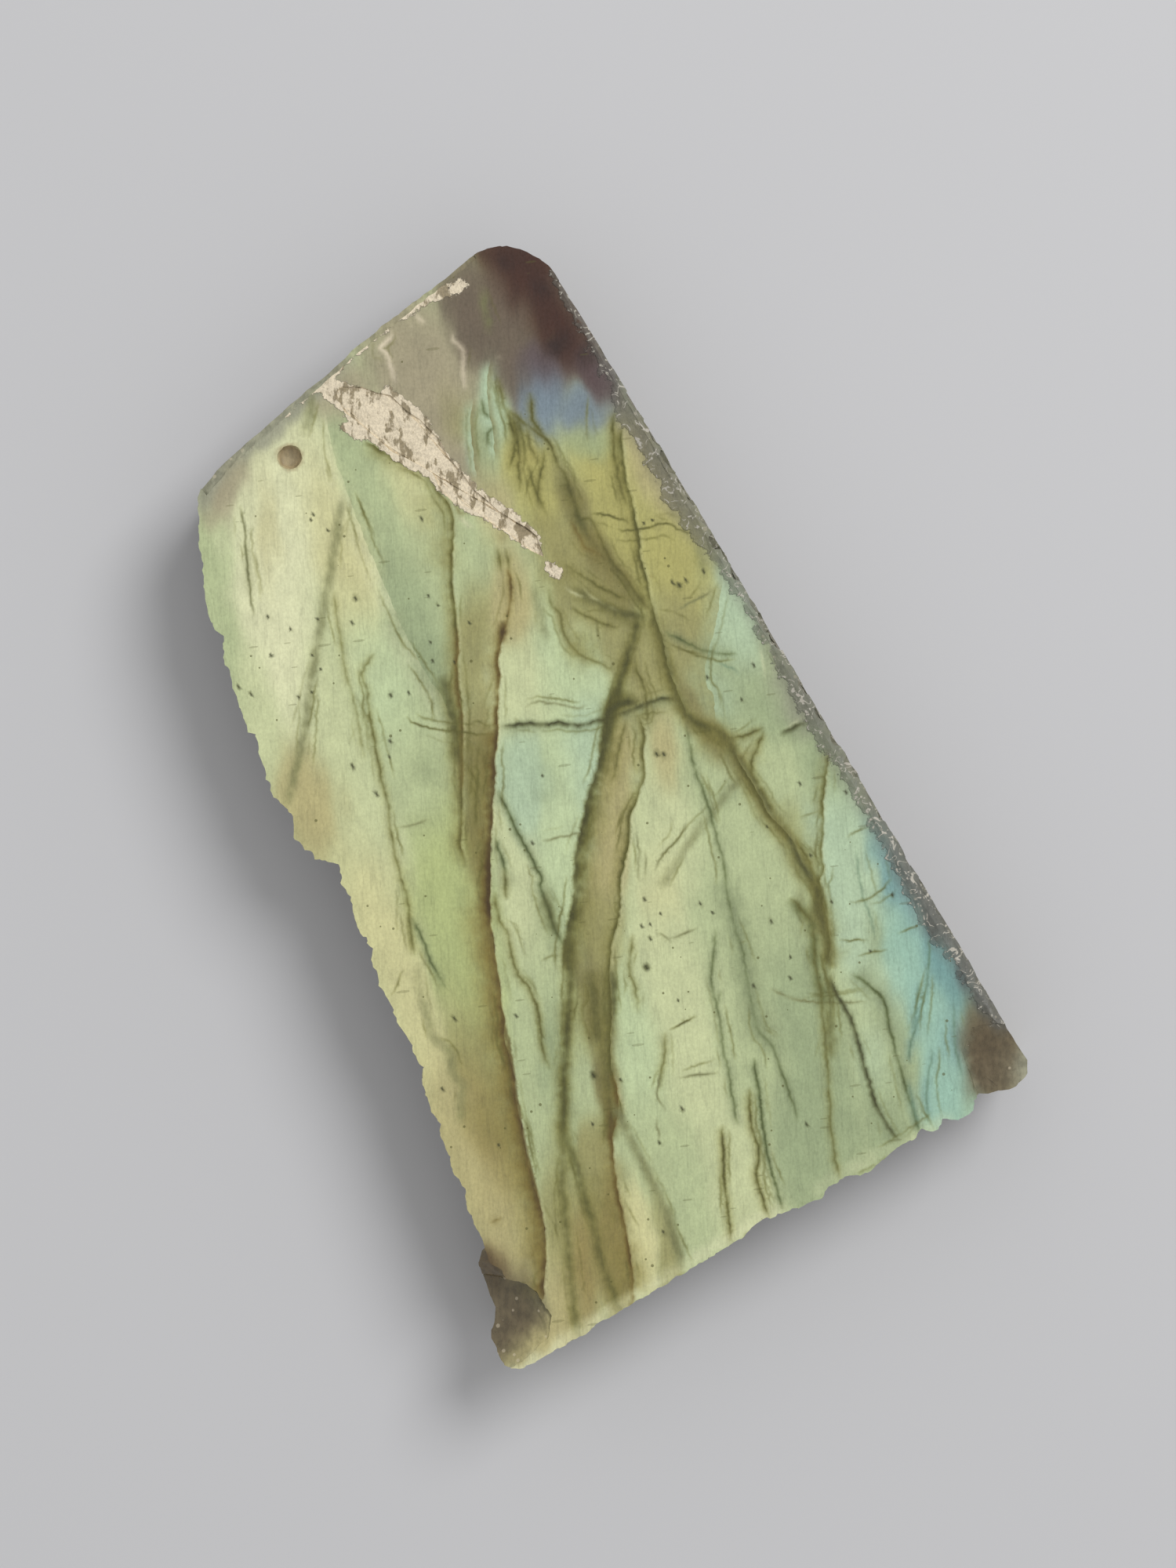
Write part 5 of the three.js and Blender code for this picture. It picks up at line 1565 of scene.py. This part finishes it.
def chipped_group(ragged):
    """Chipped stone: dull and grainy, with small pale curls, where a cover says so."""
    group, given, made = new_group(
        "Chipped stone",
        {
            "Millimetres": ("NodeSocketVector", None),
            "Colour": ("NodeSocketColor", None),
            "Amount": ("NodeSocketFloat", 0.0),
            "Chip": ("NodeSocketColor", None),
            "Fleck": ("NodeSocketColor", None),
        },
        {"Colour": "NodeSocketColor", "Mask": "NodeSocketFloat"},
    )
    millimetres = given.outputs["Millimetres"]
    mask = use_group(
        group, ragged, Millimetres=millimetres, Amount=given.outputs["Amount"],
        Raggedness=1.7, Grains_per_mm=1.4,
    )
    grains = add_node(
        group, "ShaderNodeTexNoise", {"Vector": millimetres, "Scale": 3.4, "Detail": 5.0}
    )
    shade = clamped_map(group, grains.outputs["Fac"], 0.32, 0.68, 0.7, 1.25)
    chip = add_node(
        group, "ShaderNodeVectorMath", {0: given.outputs["Chip"], "Scale": shade},
        operation="SCALE",
    )
    curls = add_node(
        group, "ShaderNodeTexNoise",
        {"Vector": millimetres, "Scale": 1.5, "Detail": 1.5, "Distortion": 0.8},
    )
    ridge = calculated(group, "SUBTRACT", curls.outputs["Fac"], 0.52)
    ridge = clamped_map(group, calculated(group, "ABSOLUTE", ridge, 0), 0.012, 0.03, 1, 0)
    fleck = calculated(
        group, "MULTIPLY", ridge, clamped_map(group, grains.outputs["Fac"], 0.44, 0.54, 0, 1)
    )
    fleck = calculated(group, "MULTIPLY", fleck, mask.outputs["Mask"])
    chipped = blended(group, mask.outputs["Mask"], given.outputs["Colour"], chip.outputs[0])
    chipped = blended(group, 0.5, chipped, given.outputs["Colour"])
    flecked = blended(group, fleck, chipped, given.outputs["Fleck"])
    group.links.new(flecked, made.inputs["Colour"])
    group.links.new(mask.outputs["Mask"], made.inputs["Mask"])
    return group


def crust_group(grain):
    """Pale chalky crust: ridges along the plates of the stone, with painted shade in its hollows and
    its colour lighter and darker with its fine relief.
    """
    group, given, made = new_group(
        "Crust",
        {
            "Millimetres": ("NodeSocketVector", None),
            "Light": ("NodeSocketColor", None),
            "Dark": ("NodeSocketColor", None),
        },
        {"Colour": "NodeSocketColor", "Height": "NodeSocketFloat"},
    )
    millimetres = given.outputs["Millimetres"]
    lumps = use_group(group, grain, Millimetres=millimetres, Grains_per_mm=2.3, Stretch=0.45)
    fine = use_group(group, grain, Millimetres=millimetres, Grains_per_mm=9.0, Stretch=0.8)
    # Painted shade: the hollows of the lumps are darker, and the fine grain of the relief lightens and
    # darkens the crust
    shaded_hollow = clamped_map(group, lumps.outputs["Grain"], 0.4, 0.49, 1, 0)
    base = blended(group, shaded_hollow, given.outputs["Light"], given.outputs["Dark"])
    shade = clamped_map(group, fine.outputs["Grain"], 0.3, 0.7, 0.8, 1.12)
    toned = add_node(group, "ShaderNodeVectorMath", {0: base, "Scale": shade}, operation="SCALE")
    height = calculated(group, "ADD", lumps.outputs["Grain"], fine.outputs["Grain"])
    group.links.new(toned.outputs[0], made.inputs["Colour"])
    group.links.new(height, made.inputs["Height"])
    return group


def tint(palette, name):
    """A named colour as a socket takes it."""
    return (*to_light(palette[name]), 1)


def material_start(name):
    """A new material with its shader, its places in millimetres, and its colours and covers."""
    material = bpy.data.materials.new(name)
    material.use_nodes = True
    tree = material.node_tree
    shader = tree.nodes["Principled BSDF"]
    place = add_node(tree, "ShaderNodeTexCoord")
    millimetres = add_node(
        tree, "ShaderNodeVectorMath",
        {0: place.outputs["Object"], "Scale": 1 / MM}, operation="SCALE",
    )
    colour = add_node(tree, "ShaderNodeVertexColor", layer_name="stone_colour")
    covers = add_node(tree, "ShaderNodeVertexColor", layer_name="stone_covers")
    parts = add_node(tree, "ShaderNodeSeparateColor", {0: covers.outputs["Color"]})
    return material, tree, shader, millimetres.outputs[0], colour.outputs["Color"], parts.outputs


def use_group(tree, group, **inputs):
    """A group placed in a tree, with its inputs. An underscore stands for a space."""
    node = add_node(tree, "ShaderNodeGroup", node_tree=group)
    for name, value in inputs.items():
        socket = node.inputs[name.replace("_", " ")]
        if isinstance(value, bpy.types.NodeSocket):
            tree.links.new(value, socket)
        else:
            socket.default_value = value
    return node


def shaded(tree, colour, *factors):
    """A colour made lighter or darker by each of the factors."""
    for factor in factors:
        node = add_node(tree, "ShaderNodeVectorMath", {0: colour, "Scale": factor}, operation="SCALE")
        colour = node.outputs[0]
    return colour


def finish_with(tree, shader, colour, roughness, height, bump_distance):
    """Links a material's colour, roughness and relief to its shader."""
    bump = add_node(
        tree, "ShaderNodeBump", {"Height": height, "Distance": bump_distance, "Strength": 1.0}
    )
    tree.links.new(colour, shader.inputs["Base Color"])
    tree.links.new(roughness, shader.inputs["Roughness"])
    tree.links.new(bump.outputs["Normal"], shader.inputs["Normal"])


def face_texture(tree, millimetres, colour, palette, groups):
    """The polished face's own texture: streaks along the plates, dashes across them, specks."""
    streaks = use_group(
        tree, groups["grain"], Millimetres=millimetres, Grains_per_mm=6.0, Stretch=0.2
    )
    mottle = use_group(
        tree, groups["grain"], Millimetres=millimetres, Grains_per_mm=8.0, Stretch=0.7
    )
    plates = use_group(
        tree, groups["grain"], Millimetres=millimetres, Grains_per_mm=1.4, Stretch=0.1
    )
    hair = calculated(tree, "SUBTRACT", plates.outputs["Grain"], 0.5)
    hair = clamped_map(tree, calculated(tree, "ABSOLUTE", hair, 0), 0, 0.03, 0.9, 1)
    toned = shaded(
        tree, colour, hair,
        clamped_map(tree, streaks.outputs["Grain"], 0.28, 0.72, 0.94, 1.05),
        clamped_map(tree, mottle.outputs["Cloud"], 0.3, 0.7, 0.93, 1.06),
        clamped_map(tree, mottle.outputs["Grain"], 0.28, 0.72, 0.92, 1.07),
    )
    dots = use_group(
        tree, groups["specks"], Millimetres=millimetres, Cells_per_mm=1.8, Radius=0.15, Share=0.3
    )
    crosswise = add_node(
        tree, "ShaderNodeMapping",
        {"Vector": millimetres, "Rotation": (0, 0, math.radians(-24)), "Scale": (2.4, 0.5, 1.0)},
        vector_type="TEXTURE",
    )
    dashes = use_group(
        tree, groups["specks"], Millimetres=crosswise.outputs[0], Cells_per_mm=1.3, Radius=0.2,
        Share=0.35,
    )
    dark = tint(palette, "dark_olive")
    dotted = blended(tree, calculated(tree, "MULTIPLY", dots.outputs["Mask"], 0.7), toned, dark)
    depth = calculated(tree, "MULTIPLY", dashes.outputs["Mask"], 0.32)
    return blended(tree, depth, dotted, dark), streaks.outputs["Grain"], mottle.outputs["Grain"]


def polished_stone(finish, palette, groups):
    """Polished labradorite with its texture, chipped along the rim and crusted by the groove."""
    material, tree, shader, millimetres, colour, covers = material_start("polished_labradorite")
    textured, streak, mottle = face_texture(tree, millimetres, colour, palette, groups)
    chipped = use_group(
        tree, groups["chipped"], Millimetres=millimetres, Colour=textured, Amount=covers[0],
        Chip=tint(palette, "margin"), Fleck=tint(palette, "chip_pale"),
    )
    ragged = use_group(
        tree, groups["ragged"], Millimetres=millimetres, Amount=covers[1], Raggedness=2.0,
        Grains_per_mm=2.2,
    )
    crust = use_group(
        tree, groups["crust"], Millimetres=millimetres, Light=tint(palette, "crust_light"),
        Dark=tint(palette, "crust_dark"),
    )
    mask = ragged.outputs["Mask"]
    covered = blended(tree, mask, chipped.outputs["Colour"], crust.outputs["Colour"])
    rough = calculated(tree, "MAXIMUM", mask, chipped.outputs["Mask"])
    roughness = calculated(
        tree, "ADD", calculated(tree, "MULTIPLY", rough, 0.4),
        clamped_map(
            tree, mottle, 0.3, 0.7, finish.polish_roughness - 0.05, finish.polish_roughness + 0.08
        ),
    )
    relief = calculated(tree, "MULTIPLY", crust.outputs["Height"], rough)
    height = calculated(tree, "ADD", calculated(tree, "MULTIPLY", streak, 0.08), relief)
    finish_with(tree, shader, covered, roughness, height, 0.00005)
    shader.inputs["Coat Weight"].default_value = finish.polish_coat
    shader.inputs["Coat Roughness"].default_value = 0.12
    return material


def broken_stone(finish, palette, groups):
    """Broken labradorite: uneven cleavage steps with painted glints on them, chipped by the rim, glassy
    at the brown corners.
    """
    material, tree, shader, millimetres, colour, covers = material_start("broken_labradorite")
    rough = use_group(
        tree, groups["grain"], Millimetres=millimetres, Grains_per_mm=3.0, Stretch=0.6
    )
    # Pale specks painted as glints off the cleavage facets
    cleavage_glints = use_group(
        tree, groups["specks"], Millimetres=millimetres, Cells_per_mm=2.6, Radius=0.3, Share=0.25
    )
    toned = shaded(
        tree, colour,
        clamped_map(tree, rough.outputs["Grain"], 0.3, 0.7, 0.78, 1.2),
        clamped_map(tree, rough.outputs["Cloud"], 0.3, 0.7, 0.85, 1.12),
    )
    glint_depth = calculated(tree, "MULTIPLY", cleavage_glints.outputs["Mask"], 0.3)
    flecked = blended(tree, glint_depth, toned, tint(palette, "crust_light"))
    chipped = use_group(
        tree, groups["chipped"], Millimetres=millimetres, Colour=flecked, Amount=covers[0],
        Chip=tint(palette, "margin"), Fleck=tint(palette, "chip_pale"),
    )
    glassy = calculated(tree, "MULTIPLY", covers[2], 0.25)
    roughness = calculated(
        tree, "SUBTRACT",
        clamped_map(
            tree, rough.outputs["Grain"], 0.3, 0.7, finish.break_roughness - 0.12,
            finish.break_roughness + 0.15,
        ),
        glassy,
    )
    calm = clamped_map(tree, covers[2], 0, 1, 1, 0.3)
    height = calculated(tree, "MULTIPLY", rough.outputs["Grain"], calm)
    finish_with(tree, shader, chipped.outputs["Colour"], roughness, height, 0.00006)
    tree.links.new(glassy, shader.inputs["Coat Weight"])
    return material


def sawn_stone(finish, groups):
    """Sawn labradorite: dull, with fine saw marks and a little dust."""
    material, tree, shader, millimetres, colour, _ = material_start("sawn_labradorite")
    cloud = use_group(
        tree, groups["grain"], Millimetres=millimetres, Grains_per_mm=3.0, Stretch=0.9
    )
    arcs = add_node(
        tree, "ShaderNodeTexWave",
        {
            "Vector": millimetres, "Scale": 0.42, "Distortion": 2.2, "Detail": 3.0,
            "Detail Scale": 0.6,
        },
        wave_type="RINGS", rings_direction="Z", wave_profile="SIN",
    )
    toned = shaded(
        tree, colour,
        clamped_map(tree, cloud.outputs["Cloud"], 0.3, 0.7, 0.85, 1.15),
        clamped_map(tree, cloud.outputs["Grain"], 0.3, 0.7, 0.9, 1.1),
        clamped_map(tree, arcs.outputs["Fac"], 0, 1, 0.96, 1.04),
    )
    roughness = clamped_map(
        tree, cloud.outputs["Grain"], 0.3, 0.7, finish.sawn_roughness - 0.08,
        finish.sawn_roughness + 0.08,
    )
    height = calculated(tree, "ADD", arcs.outputs["Fac"], cloud.outputs["Grain"])
    finish_with(tree, shader, toned, roughness, height, 0.00002)
    return material


def pale_crust(finish, palette, groups):
    """The pale crust that fills the groove."""
    material, tree, shader, millimetres, colour, _ = material_start("pale_crust")
    crust = use_group(
        tree, groups["crust"], Millimetres=millimetres, Light=tint(palette, "crust_light"),
        Dark=tint(palette, "crust_dark"),
    )
    roughness = clamped_map(
        tree, crust.outputs["Height"], 0.7, 1.3, finish.crust_roughness - 0.1,
        finish.crust_roughness,
    )
    finish_with(
        tree, shader, crust.outputs["Colour"], roughness, crust.outputs["Height"], 0.00004
    )
    return material


def floor_finish(colour):
    """Smooth pale board with a very slight unevenness."""
    material = bpy.data.materials.new("pale_floor")
    material.use_nodes = True
    tree = material.node_tree
    shader = tree.nodes["Principled BSDF"]
    place = add_node(tree, "ShaderNodeTexCoord")
    cloud = add_node(
        tree, "ShaderNodeTexNoise",
        {"Vector": place.outputs["Object"], "Scale": 9.0, "Detail": 3.0},
    )
    pale = tuple(to_light(np.array(colour)))
    dark = tuple(value * FLOOR_SHADE for value in pale) + (1,)
    toned = blended(tree, cloud.outputs["Fac"], pale + (1,), dark)
    tree.links.new(toned, shader.inputs["Base Color"])
    shader.inputs["Roughness"].default_value = 0.6
    return material


# Operators

def add_object(name, data):
    """A new object in the scene."""
    made = bpy.data.objects.new(name, data)
    bpy.context.scene.collection.objects.link(made)
    return made


class LABRADORITE_OT_stone(bpy.types.Operator):
    """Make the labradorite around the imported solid"""

    bl_idname = "labradorite.make_stone"
    bl_label = "Make the stone"

    def execute(self, context):
        scene = context.scene
        sizes, finish = scene.stone_sizes, scene.stone_finish
        names = StoneColours.__annotations__
        palette = {name: np.array(getattr(scene.stone_colours, name)) for name in names}
        # Blender's noise vectors start from the clock unless they are seeded
        noise.seed_set(SEED)
        lines = face_lines(sizes)
        mesh = stone_mesh(sizes, lines)
        paint(mesh, lines, palette, finish.mark_strength)
        mesh.transform(Matrix.Scale(MM, 4))
        groups = {"grain": grain_group(), "specks": specks_group(), "ragged": ragged_group()}
        groups["chipped"] = chipped_group(groups["ragged"])
        groups["crust"] = crust_group(groups["grain"])
        mesh.materials.append(polished_stone(finish, palette, groups))
        mesh.materials.append(broken_stone(finish, palette, groups))
        mesh.materials.append(sawn_stone(finish, groups))
        mesh.materials.append(pale_crust(finish, palette, groups))
        stone = add_object(PIECE, mesh)
        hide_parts(NODE)
        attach(stone, "root")
        return {"FINISHED"}


def add_floor(settings):
    """A plain pale floor under the stone."""
    mesh = bpy.data.meshes.new("floor")
    half = settings.floor_size / 2
    corners = [(-half, -half, 0), (half, -half, 0), (half, half, 0), (-half, half, 0)]
    mesh.from_pydata(corners, [], [(0, 1, 2, 3)])
    mesh.materials.append(floor_finish(settings.floor_colour))
    add_object("floor", mesh)


def add_camera(settings):
    """A camera straight above the face, turned so that the stone leans as in the picture."""
    data = bpy.data.cameras.new("camera")
    data.sensor_width = SENSOR_WIDTH
    data.lens = data.sensor_width * settings.camera_distance / settings.view_height
    data.clip_start = 0.01
    camera = add_object("camera", data)
    height = HIGH[2] * MM + settings.camera_distance
    camera.location = (settings.view_centre_x, settings.view_centre_y, height)
    camera.rotation_euler = (0, 0, settings.view_turn)
    bpy.context.scene.camera = camera


def add_lights(settings):
    """One large soft light from the side of the long edge, and even light all round."""
    data = bpy.data.lights.new("key_light", "AREA")
    data.shape = "DISK"
    data.size = KEY_SIZE
    data.energy = settings.key_power
    key = add_object("key_light", data)
    key.location = KEY_PLACE
    key.rotation_euler = (-key.location).to_track_quat("-Z", "Y").to_euler()
    world = bpy.data.worlds.new("room")
    world.use_nodes = True
    background = world.node_tree.nodes["Background"]
    background.inputs["Color"].default_value = (1, 1, 1, 1)
    background.inputs["Strength"].default_value = settings.room_light
    bpy.context.scene.world = world


class LABRADORITE_OT_stage(bpy.types.Operator):
    """Make the floor, the lights and the camera"""

    bl_idname = "labradorite.make_stage"
    bl_label = "Make the stage"

    def execute(self, context):
        settings = context.scene.stone_stage
        add_floor(settings)
        add_lights(settings)
        add_camera(settings)
        context.scene.view_settings.view_transform = "Standard"
        return {"FINISHED"}


class LABRADORITE_PT_panel(bpy.types.Panel):
    """Lists what this file makes"""

    bl_label = "Labradorite"
    bl_space_type = "VIEW_3D"
    bl_region_type = "UI"
    bl_category = "Labradorite"

    def draw(self, context):
        for operator in OPERATORS:
            self.layout.operator(operator.bl_idname)
        for settings in SETTINGS:
            box = self.layout.box()
            for name in getattr(context.scene, settings).__annotations__:
                box.prop(getattr(context.scene, settings), name)


OPERATORS = (LABRADORITE_OT_stone, LABRADORITE_OT_stage)
SETTINGS = {
    "stone_sizes": StoneSizes,
    "stone_colours": StoneColours,
    "stone_finish": StoneFinish,
    "stone_stage": StageSettings,
}


def register():
    """Registers the classes and adds their settings to the scene."""
    for made in (*SETTINGS.values(), *OPERATORS, LABRADORITE_PT_panel):
        bpy.utils.register_class(made)
    for name, group in SETTINGS.items():
        setattr(bpy.types.Scene, name, bpy.props.PointerProperty(type=group))


def unregister():
    """Takes the settings and the classes away again."""
    for name in SETTINGS:
        delattr(bpy.types.Scene, name)
    for made in (LABRADORITE_PT_panel, *reversed(OPERATORS), *reversed(SETTINGS.values())):
        bpy.utils.unregister_class(made)


def main():
    """Makes the stone and its stage."""
    register()
    bpy.ops.labradorite.make_stone()
    bpy.ops.labradorite.make_stage()


if __name__ == "__main__":
    main()
